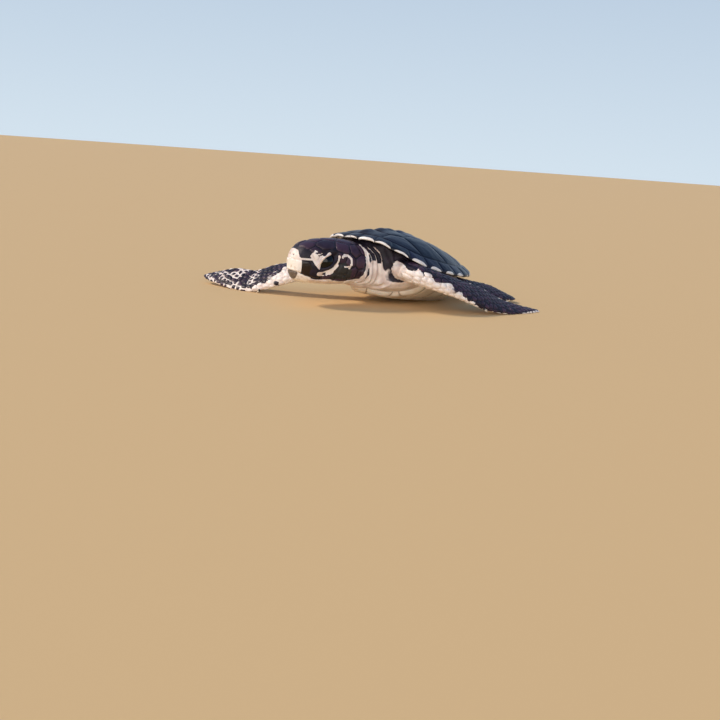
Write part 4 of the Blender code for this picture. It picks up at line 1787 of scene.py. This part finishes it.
@dataclass
class HeadShields:
    """The large shields on the head, each named where it grew from.

    A seed is the distance behind the snout and the way round from the crown in millimetres.
    Bare places push their neighbours back and get no shield of their own.
    """

    roundness: float = 6.3  # millimetres round for each radian
    reach: float = 3.1
    spread: tuple[float, float] = (22.0, 40.0)  # of the unrolled head, backwards and round
    patch: float = 0.02  # width on the OFBake map for each millimetre of shield
    midline: tuple[tuple[str, float], ...] = (("frontal", 7.2), ("frontoparietal", 11.4))
    paired: tuple[tuple[str, float, float], ...] = (
        ("prefrontal", 3.5, 2.1), ("supraocular", 8.8, 4.7), ("parietal", 15.4, 2.5),
        ("postparietal", 19.4, 1.9), ("upper_temporal", 13.2, 6.3), ("middle_temporal", 17.0, 6.8),
        ("rear_temporal", 20.2, 5.8), ("postocular_1", 12.5, 8.4), ("postocular_2", 14.9, 9.4),
        ("postocular_3", 12.8, 11.4), ("tympanic", 18.4, 9.6), ("cheek", 15.8, 12.4),
        ("lower_cheek", 18.8, 13.2), ("jaw_angle", 12.6, 14.0), ("jaw_rear", 16.2, 15.8),
        ("subocular", 9.4, 13.4), ("loreal", 5.6, 7.6)
    )
    bare: tuple[tuple[float, float, float], ...] = (  # behind, round, how far it pushes
        (8.8, 9.5, 2.75),  # eye
        (2.0, 9.0, 2.6),  # beak
        (5.0, 11.6, 1.9),
        (0.0, 4.0, 1.2),
        (0.0, 0.0, 1.2),
        (23.0, 3.5, 0.0),
        (23.0, 8.4, 0.0),
        (22.2, 13.0, 0.0),
        (12.6, 17.2, 0.0),
        (17.2, 18.6, 0.0),
        (8.8, 16.6, 0.0),
    )

    def build(self, skin: BVHTree, finish: bpy.types.Material) -> bpy.types.Object:
        """Grows the shields and lays them on the head.

        Args:
            skin: The skin to lie on.
            finish: Their material.

        Returns:
            The shields as one piece.
        """
        shields = [(b, 0.0, 0.0) for _, b in self.midline]
        shields += [(b, w * sign, 0.0) for _, b, w in self.paired for sign in (1, -1)]
        bare = [(b, w * sign, push**2) for b, w, push in self.bare for sign in (1, -1) if w or sign > 0]
        places = np.array(shields + bare)
        seeds, weights = places[:, :2], places[:, 2]
        scales = Scales("head_shields", thickness=0.16, shoulder=0.42, gap=0.22, segments=16, tilt=0.0)
        picks = np.random.default_rng(5)
        for number in range(len(shields)):
            others = np.arange(len(seeds)) != number
            scales.grow(seeds[number], seeds[others], weights[others], self.reach, picks.uniform(0.3, 1.0))
        chart = scales.grown()[0]
        local = HEAD.surface(chart[:, 0], chart[:, 1] / self.roundness)
        mesh = scales.laid(HEAD.out(local), skin)
        placed = HEAD.local(coordinates(mesh))
        mark(mesh, "pale", HEAD_MARKINGS.pale(placed))
        mark(mesh, "olive", HEAD_MARKINGS.olive(placed))
        scales.unwrap(mesh, np.array(self.spread), self.patch)
        return finished(scales.name, scales.outlined(mesh), Slot.SKIN, finish)


# Shell ----------------------------------------------------------------------------------------


def disc(segments: int) -> tuple[bpy.types.Mesh, np.ndarray, np.ndarray]:
    """A flat grid to be drawn into a shell plate.

    Args:
        segments: How many faces it has along each side.

    Returns:
        The mesh, and for each point the distance from the middle of the disc that it becomes, and
        the degrees round from that disc's front.
    """
    bm = bmesh.new()
    bmesh.ops.create_grid(bm, x_segments=segments, y_segments=segments, size=1.0)
    mesh = to_mesh(bm, "sheet")
    u, v = read(mesh.vertices, "co", 3)[:, :2].T
    x, y = u * np.sqrt(1 - v * v / 2), v * np.sqrt(1 - u * u / 2)
    return mesh, np.minimum(np.hypot(x, y), 1.0), np.degrees(np.arctan2(x, y))


def plate(
    mesh: bpy.types.Mesh, places: np.ndarray, height: np.ndarray, facing: int, thickness: float
) -> bpy.types.Mesh:
    """A flat grid laid on the shell and made into a closed plate.

    Args:
        mesh: The grid.
        places: Where its points go.
        height: How far each point then stands out.
        facing: 1 where the outside looks up and -1 where it looks down.
        thickness: The plate's thickness in millimetres.

    Returns:
        The plate. Its outer points come first and keep their order.
    """
    move_to(mesh, places)
    normals = outward(mesh)
    normals *= facing * np.sign(normals[:, 2:3])
    places = places + normals * height[:, None]
    places[:, 2] = np.maximum(places[:, 2], 0.0)
    move_to(mesh, places)
    bm = bmesh.new()
    bm.from_mesh(mesh)
    bmesh.ops.solidify(bm, geom=bm.faces[:], thickness=-facing * thickness * MM)
    bmesh.ops.recalc_face_normals(bm, faces=bm.faces)
    bpy.data.meshes.remove(mesh)
    return to_mesh(bm, "plate")


@dataclass
class Carapace:
    """The back: keeled vertebral scutes, costals, a ring of marginals and a white rim."""

    segments: int = 205
    thickness: float = 0.95
    vertebrals: tuple[float, ...] = (17.8, 9.6, 0.2, -9.4, -18.0)
    costals: tuple[tuple[float, float], ...] = ((12.4, 14.4), (13.0, 5.0), (12.6, -5.2), (10.4, -15.0))
    marginal_width: float = 3.3
    marginals: int = 25
    seam_depth: float = 0.16
    seam_width: float = 0.22
    swelling: float = 0.28  # how much each scute domes
    dome_reach: float = 2.6  # from a seam to the scute's full height
    edge_fall: float = 0.45
    edge_width: float = 0.7
    knob_height: float = 0.25  # on the keel, in each vertebral's middle
    pitting: float = 0.05  # height of the fine unevenness
    waviness: float = 0.08  # and of the broad one
    rim_width: float = 0.62
    ring_pitch: float = 0.55  # from one growth line to the next

    def layout(self, plan: np.ndarray, turn: np.ndarray) -> dict[str, np.ndarray]:
        """Where each point lies among the scutes.

        Args:
            plan: Rows of (x, f).
            turn: Degrees round from the front.

        Returns:
            Distances to the nearest seam and to the margin, scute numbers, and the inner part.
        """
        edge = SHELL.margin(turn)[:, :2]
        to_edge = np.linalg.norm(edge - plan, axis=1)
        seeds = [(0.0, f) for f in self.vertebrals]
        seeds += [(x * sign, f) for x, f in self.costals for sign in (1, -1)]
        inner_seam, inner = seam_distance(plan, np.array(seeds))
        width = self.marginal_width * (1 + 0.12 * np.cos(np.radians(turn * 2)))
        band = to_edge - width
        step = 360 / self.marginals
        place = (turn / step + 0.5) % 1.0
        across = np.abs(place - 0.5)
        round_seam = (0.5 - across) * np.radians(step) * np.linalg.norm(plan, axis=1)
        outer_seam = np.minimum(np.abs(band), round_seam)
        seam = np.where(band > 0, np.minimum(inner_seam, band), outer_seam)
        number = np.where(band > 0, inner, 20 + np.floor(turn / step + 0.5) % self.marginals)
        return {
            "seam": seam, "edge": to_edge, "number": number, "marginal": (band < 0).astype(float),
            "across": 2 * across
        }

    def build(self, finish: bpy.types.Material) -> bpy.types.Object:
        """Makes the back.

        Args:
            finish: Its material.

        Returns:
            The carapace, in place of its CAD node.
        """
        mesh, share, turn = disc(self.segments)
        places = SHELL.back(share, turn)
        where = self.layout(places[:, :2], turn)
        dome = rounded(where["seam"] / self.dome_reach)
        height = self.swelling * (dome - 0.8) * (1 - 0.4 * where["marginal"])
        height -= self.seam_depth * bell(where["seam"], self.seam_width)
        height -= self.edge_fall * (1 - rounded(where["edge"] / self.edge_width))
        height += self.pitting * ripple(places, 1.3, 2.0) + self.waviness * ripple(places, 4.0, 5.0)
        knob = bell(where["seam"] - self.dome_reach, 1.6) * bell(places[:, 0], 1.5)
        height += self.knob_height * knob * (1 - where["marginal"])
        mesh = plate(mesh, places, height, 1, self.thickness)
        self.mark(mesh)
        return finished("back_scutes", mesh, Slot.CARAPACE, finish, "carapace")

    def mark(self, mesh: bpy.types.Mesh) -> None:
        """Stores the seams, the white rim and each scute's shade.

        Args:
            mesh: The finished plate; its outer sheet comes first.
        """
        points = coordinates(mesh)
        plan = points[:, :2]
        off = plan - (0.0, SHELL.dome_centre)
        rounds = np.linspace(0.0, 360.0, 721)
        edge = SHELL.margin(rounds)[:, :2] - (0.0, SHELL.dome_centre)
        bearing = np.degrees(np.arctan2(edge[:, 0], edge[:, 1])) % 360
        order = np.argsort(bearing)
        own = np.degrees(np.arctan2(off[:, 0], off[:, 1])) % 360
        turn = np.interp(own, bearing[order], rounds[order] % 360)
        margin = SHELL.margin(turn)[:, :2]
        share = np.linalg.norm(off, axis=1) / np.linalg.norm(margin - (0.0, SHELL.dome_centre), axis=1)
        share = np.minimum(share, 1.0)
        where = self.layout(plan, turn)
        outer = SHELL.back(share, turn)[:, 2] - points[:, 2] < self.thickness * 0.75
        shade = np.random.default_rng(3).uniform(0.0, 1.0, 64)[where["number"].astype(int)]
        wide = self.rim_width * (1 - 0.7 * where["across"] ** 2) * (0.55 + 0.6 * shade)
        rim = ramp(where["edge"], wide + 0.12, wide - 0.12)
        under = 0.75 * ramp(where["edge"], 0.9, 2.2) * ramp(where["edge"], 6.0, 4.0)
        mark(mesh, "pale", np.where(outer, rim, under))
        mark(mesh, "seam", where["seam"])
        mark(mesh, "tone", shade)
        mark(mesh, "brown", ramp(points[:, 1], 2.0, 16.0) * bell(points[:, 0], 12.0))
        growth = np.minimum(where["seam"], 3.0) * 2 * np.pi / self.ring_pitch
        mark(mesh, "rings", 0.5 + 0.5 * np.sin(growth))


@dataclass
class Plastron:
    """The belly plate: paired white scutes with two weak ridges, and the bridges' scutes."""

    segments: int = 130
    thickness: float = 0.95
    middle: tuple[float, ...] = (15.6, 10.4, 4.4, -2.0, -8.6, -14.8)
    bridge: tuple[float, ...] = (9.4, 3.6, -2.4, -8.2)
    half_row: float = 4.4
    bridge_row: float = 13.2
    throat: float = 20.4  # forward place of the single plate there
    swelling: float = 0.16  # how much each scute domes
    dome_reach: float = 1.8  # from a seam to the scute's full height
    sink: float = 0.12  # of the whole sheet, so that the domes hardly stand proud
    seam_depth: float = 0.14
    seam_width: float = 0.24
    edge_tuck: float = 0.9
    ridge_at: float = 5.6
    ridge_height: float = 0.22

    def build(self, finish: bpy.types.Material) -> bpy.types.Object:
        """Makes the belly plate.

        Args:
            finish: Its material.

        Returns:
            The plate, in place of its CAD node.
        """
        mesh, share, turn = disc(self.segments)
        places = SHELL.belly(share, turn)
        seam = self.seams(places[:, :2])
        height = self.swelling * rounded(seam / self.dome_reach) - self.sink
        height -= self.seam_depth * bell(seam, self.seam_width)
        ridge = bell(np.abs(places[:, 0]) - self.ridge_at, 1.0) * ramp(share, 0.95, 0.7)
        height += self.ridge_height * ridge + 0.04 * ripple(places, 1.4, 4.0)
        height -= self.edge_tuck * (1 - rounded((1 - share) * 10))
        mesh = plate(mesh, places, height, -1, self.thickness)
        mark(mesh, "seam", self.seams(coordinates(mesh)[:, :2]))
        return finished("belly_scutes", mesh, Slot.PLASTRON, finish, "plastron")

    def seams(self, plan: np.ndarray) -> np.ndarray:
        """The distance to the nearest seam.

        Args:
            plan: Rows of (x, f).

        Returns:
            Millimetres.
        """
        seeds = [(self.half_row * sign, f) for f in self.middle for sign in (1, -1)]
        seeds += [(self.bridge_row * sign, f) for f in self.bridge for sign in (1, -1)]
        seeds.append((0.0, self.throat))
        return seam_distance(plan, np.array(seeds))[0]


# Horn -----------------------------------------------------------------------------------------


@dataclass
class Beak:
    """One of the two horny sheaths that cover the jaws."""

    node: str
    voxel: float = 0.17
    swell: float = 0.10

    def build(self, finish: bpy.types.Material) -> bpy.types.Object:
        """Makes the sheath.

        Args:
            finish: Its material.

        Returns:
            The sheath, in place of its CAD node.
        """
        mesh = remeshed(node_copy([self.node], self.swell), self.voxel)
        points = relaxed(coordinates(mesh), edge_pairs(mesh), 0.5, 6)
        move_to(mesh, points)
        local = HEAD.local(points)
        height = 0.03 * ripple(local * (1, 1, 3), 0.9, 1.0)
        if self.node == "upper_beak":
            lip = HEAD_MARKINGS.mouth.distance(local[:, (0, 2)])
            height += 0.10 * bell(lip - 0.3, 0.35)
        move_to(mesh, points + outward(mesh) * height[:, None])
        mark(mesh, "pale", self.pale(local))
        return finished(self.node.replace("beak", "horn"), mesh, Slot.BEAK, finish, self.node)

    def pale(self, local: np.ndarray) -> np.ndarray:
        """How white the sheath is.

        Args:
            local: Rows of head coordinates.

        Returns:
            0 where it is dark to 1 where it is white.
        """
        if self.node == "lower_beak":
            # painted shade: the front of the lower sheath is painted grey-brown, the shade under the upper
            # beak
            return 0.27 + 0.73 * ramp(local[:, 0], 0.7, 1.2)
        return HEAD_MARKINGS.pale(local)


@dataclass
class Claw:
    """A short curved claw on a flipper's leading edge."""

    limb: Limb
    length: float = 1.35
    radius: float = 0.42
    curve: float = 0.35
    root: float = 0.15  # how deep it stands in the flipper

    def build(self, finish: bpy.types.Material) -> bpy.types.Object:
        """Makes the claw.

        Args:
            finish: Its material.

        Returns:
            The claw, in place of its CAD node.
        """
        middle, tangent, lead, top = (row[0] for row in self.limb.frame(self.limb.kind.claw_at))
        out = unit(lead)
        aim = unit(out * 0.9 + tangent * 0.45)
        aside, rise = unit(np.cross(aim, unit(top))), unit(top)
        mesh, form = ball(20, 18)
        along = (form[:, 2] + 1) / 2
        girth = self.radius * (1 - along) ** 0.75 * np.minimum(1.0, along * 9 + 0.2)
        around = form[:, :2] / np.maximum(np.linalg.norm(form[:, :2], axis=1), 1e-6)[:, None]
        base = middle + lead - out * self.root
        points = base + aim * (along * self.length)[:, None]
        points = points + unit(tangent) * (self.curve * along**2)[:, None]
        points = points + aside * (around[:, 0] * girth)[:, None]
        points = points + rise * (around[:, 1] * girth * 0.8)[:, None]
        points[:, 2] = np.maximum(points[:, 2], 0.0)
        move_to(mesh, points)
        mark(mesh, "pale", ramp(along, 0.1, 0.75) * 0.75)
        name, node = (f"{self.limb.kind.word}_{part}_{self.limb.side.word}" for part in ("nail", "claw"))
        return finished(name, mesh, Slot.CLAW, finish, node)


@dataclass
class EggTooth:
    """The small white point on the snout that opened the egg."""

    radius: float = 0.42
    height: float = 0.38
    place: tuple[float, float, float] = (0.12, 0.0, 1.0)

    def build(self, finish: bpy.types.Material) -> bpy.types.Object:
        """Makes the egg tooth.

        Args:
            finish: Its material.

        Returns:
            The egg tooth.
        """
        mesh, form = ball(24, 16)
        out = np.maximum(form[:, 2], -0.5)
        narrow = self.radius * (1 - 0.55 * np.maximum(out, 0.0) ** 1.2)
        local = np.stack((-out * self.height, form[:, 0] * narrow, form[:, 1] * narrow), axis=1)
        move_to(mesh, HEAD.out(local + self.place))
        mark(mesh, "pale", np.ones(len(local)))
        return finished("egg_tooth", mesh, Slot.BEAK, finish)


# Stage ----------------------------------------------------------------------------------------


@dataclass
class Stage:
    """The floor, the soft lights and the camera."""

    camera_at: tuple[float, float, float] = (197.11, -255.41, 42.3)  # row frame, millimetres
    bearing: float = 40.93  # degrees that it looks to the left of +Y
    dip: float = 11.146  # degrees that it looks down
    roll: float = 4.06
    lens: float = 52.5
    lit: tuple[float, float, float] = (0.0, -0.02, 0.01)  # what the lights face, in metres
    horizon: str = "d3e2ee"
    zenith: str = "7093bf"
    zenith_from: float = 0.55  # how steep a look up already shows the zenith's colour
    floor_radius: float = 6.0  # metres

    def build(self) -> None:
        """Makes the floor, the lights, the surroundings and the camera."""
        bm = bmesh.new()
        bmesh.ops.create_circle(bm, cap_ends=True, segments=96, radius=self.floor_radius)
        floor = in_scene("floor", to_mesh(bm, "floor"))
        floor.data.materials.append(PaleFloor().material())
        self.light("key", (-0.58, -0.46, 0.66), 2.4, 12.0, "fff0dc")
        self.light("fill", (0.35, -0.65, 0.22), 1.9, 60.0, "fff3e8")
        self.surroundings()
        self.camera()
        bpy.context.scene.view_settings.view_transform = "Standard"

    def light(
        self, name: str, at: tuple[float, float, float], power: float, softness: float, tint: str
    ) -> None:
        """A soft light that faces the turtle.

        Args:
            name: The light's name.
            at: Its place in metres.
            power: Its power in watts to the square metre.
            softness: Degrees across that it seems.
            tint: Its colour.
        """
        lamp = bpy.data.lights.new(name, "SUN")
        lamp.energy = power
        lamp.color = srgb(tint)[:3]
        lamp.angle = math.radians(softness)
        holder = in_scene(name, lamp)
        holder.location = at
        towards = Vector(self.lit) - Vector(at)
        holder.rotation_euler = towards.to_track_quat("-Z", "Y").to_euler()

    def surroundings(self) -> None:
        """Even light all round, paler towards the horizon."""
        world = bpy.data.worlds.new("pale_surroundings")
        world.use_nodes = True
        tree = world.node_tree
        where = tree.nodes.new("ShaderNodeTexCoord")
        height = tree.nodes.new("ShaderNodeSeparateXYZ")
        slope = tree.nodes.new("ShaderNodeValToRGB")
        tree.links.new(where.outputs["Generated"], height.inputs[0])
        tree.links.new(height.outputs["Z"], slope.inputs[0])
        tree.links.new(slope.outputs[0], tree.nodes["Background"].inputs["Color"])
        low, high = slope.color_ramp.elements
        low.position, low.color = 0.0, srgb(self.horizon)
        high.position, high.color = self.zenith_from, srgb(self.zenith)
        bpy.context.scene.world = world

    def camera(self) -> None:
        """The camera, low in front of the turtle's left shoulder."""
        bearing, dip, roll = (math.radians(a) for a in (self.bearing, self.dip, self.roll))
        ahead = Vector(
            (-math.sin(bearing) * math.cos(dip), math.cos(bearing) * math.cos(dip), -math.sin(dip))
        )
        right = Vector((math.cos(bearing), math.sin(bearing), 0.0))
        above = right.cross(ahead)
        turned_right = right * math.cos(roll) + above * math.sin(roll)
        turned_up = above * math.cos(roll) - right * math.sin(roll)
        lens = bpy.data.cameras.new("camera")
        lens.sensor_width = 36.0
        lens.lens = self.lens
        lens.clip_start = 0.005
        lens.clip_end = 50.0
        holder = in_scene("camera", lens)
        turn = Matrix((turned_right, turned_up, -ahead)).transposed().to_4x4()
        holder.matrix_world = Matrix.Translation(Vector(self.camera_at) * MM) @ turn
        bpy.context.scene.camera = holder


def skin_tree(skin: bpy.types.Object) -> BVHTree:
    """The skin's surface, for pieces that lie on it.

    Args:
        skin: The finished skin.

    Returns:
        Its faces in turtle millimetres, ready to be searched.
    """
    points = [Vector(p) for p in coordinates(skin.data)]
    # The turtle's axes mirror the row frame's, so each face is read backwards to keep facing out.
    faces = [tuple(reversed(polygon.vertices[:])) for polygon in skin.data.polygons]
    return BVHTree.FromPolygons(points, faces)


def main() -> None:
    """Builds the stage and the turtle, piece by piece."""
    logging.basicConfig(level=logging.INFO, format="%(message)s")
    Stage().build()
    skin = Skin().build(ReptileSkin().material())
    tree = skin_tree(skin)
    keratin = ScaleKeratin().material()
    HeadShields().build(tree, keratin)
    for limb in LIMBS:
        LimbScales(limb).build(tree, keratin)
    Carapace().build(ScuteKeratin().material())
    Plastron().build(BellyKeratin().material())
    wet = WetEye().material()
    for eye in EYES:
        eye.build(wet)
    horn = BeakHorn().material()
    Beak("upper_beak").build(horn)
    # painted shade: the lower sheath's grey-brown front stands for the shade under the upper beak
    Beak("lower_beak").build(BeakHorn("jaw horn, grey in front", dark="64564a").material())
    EggTooth().build(horn)
    nail = BeakHorn("claw horn, worn smooth", pale="cfc0a8").material()
    for limb in LIMBS:
        Claw(limb).build(nail)


if __name__ == "__main__":
    main()
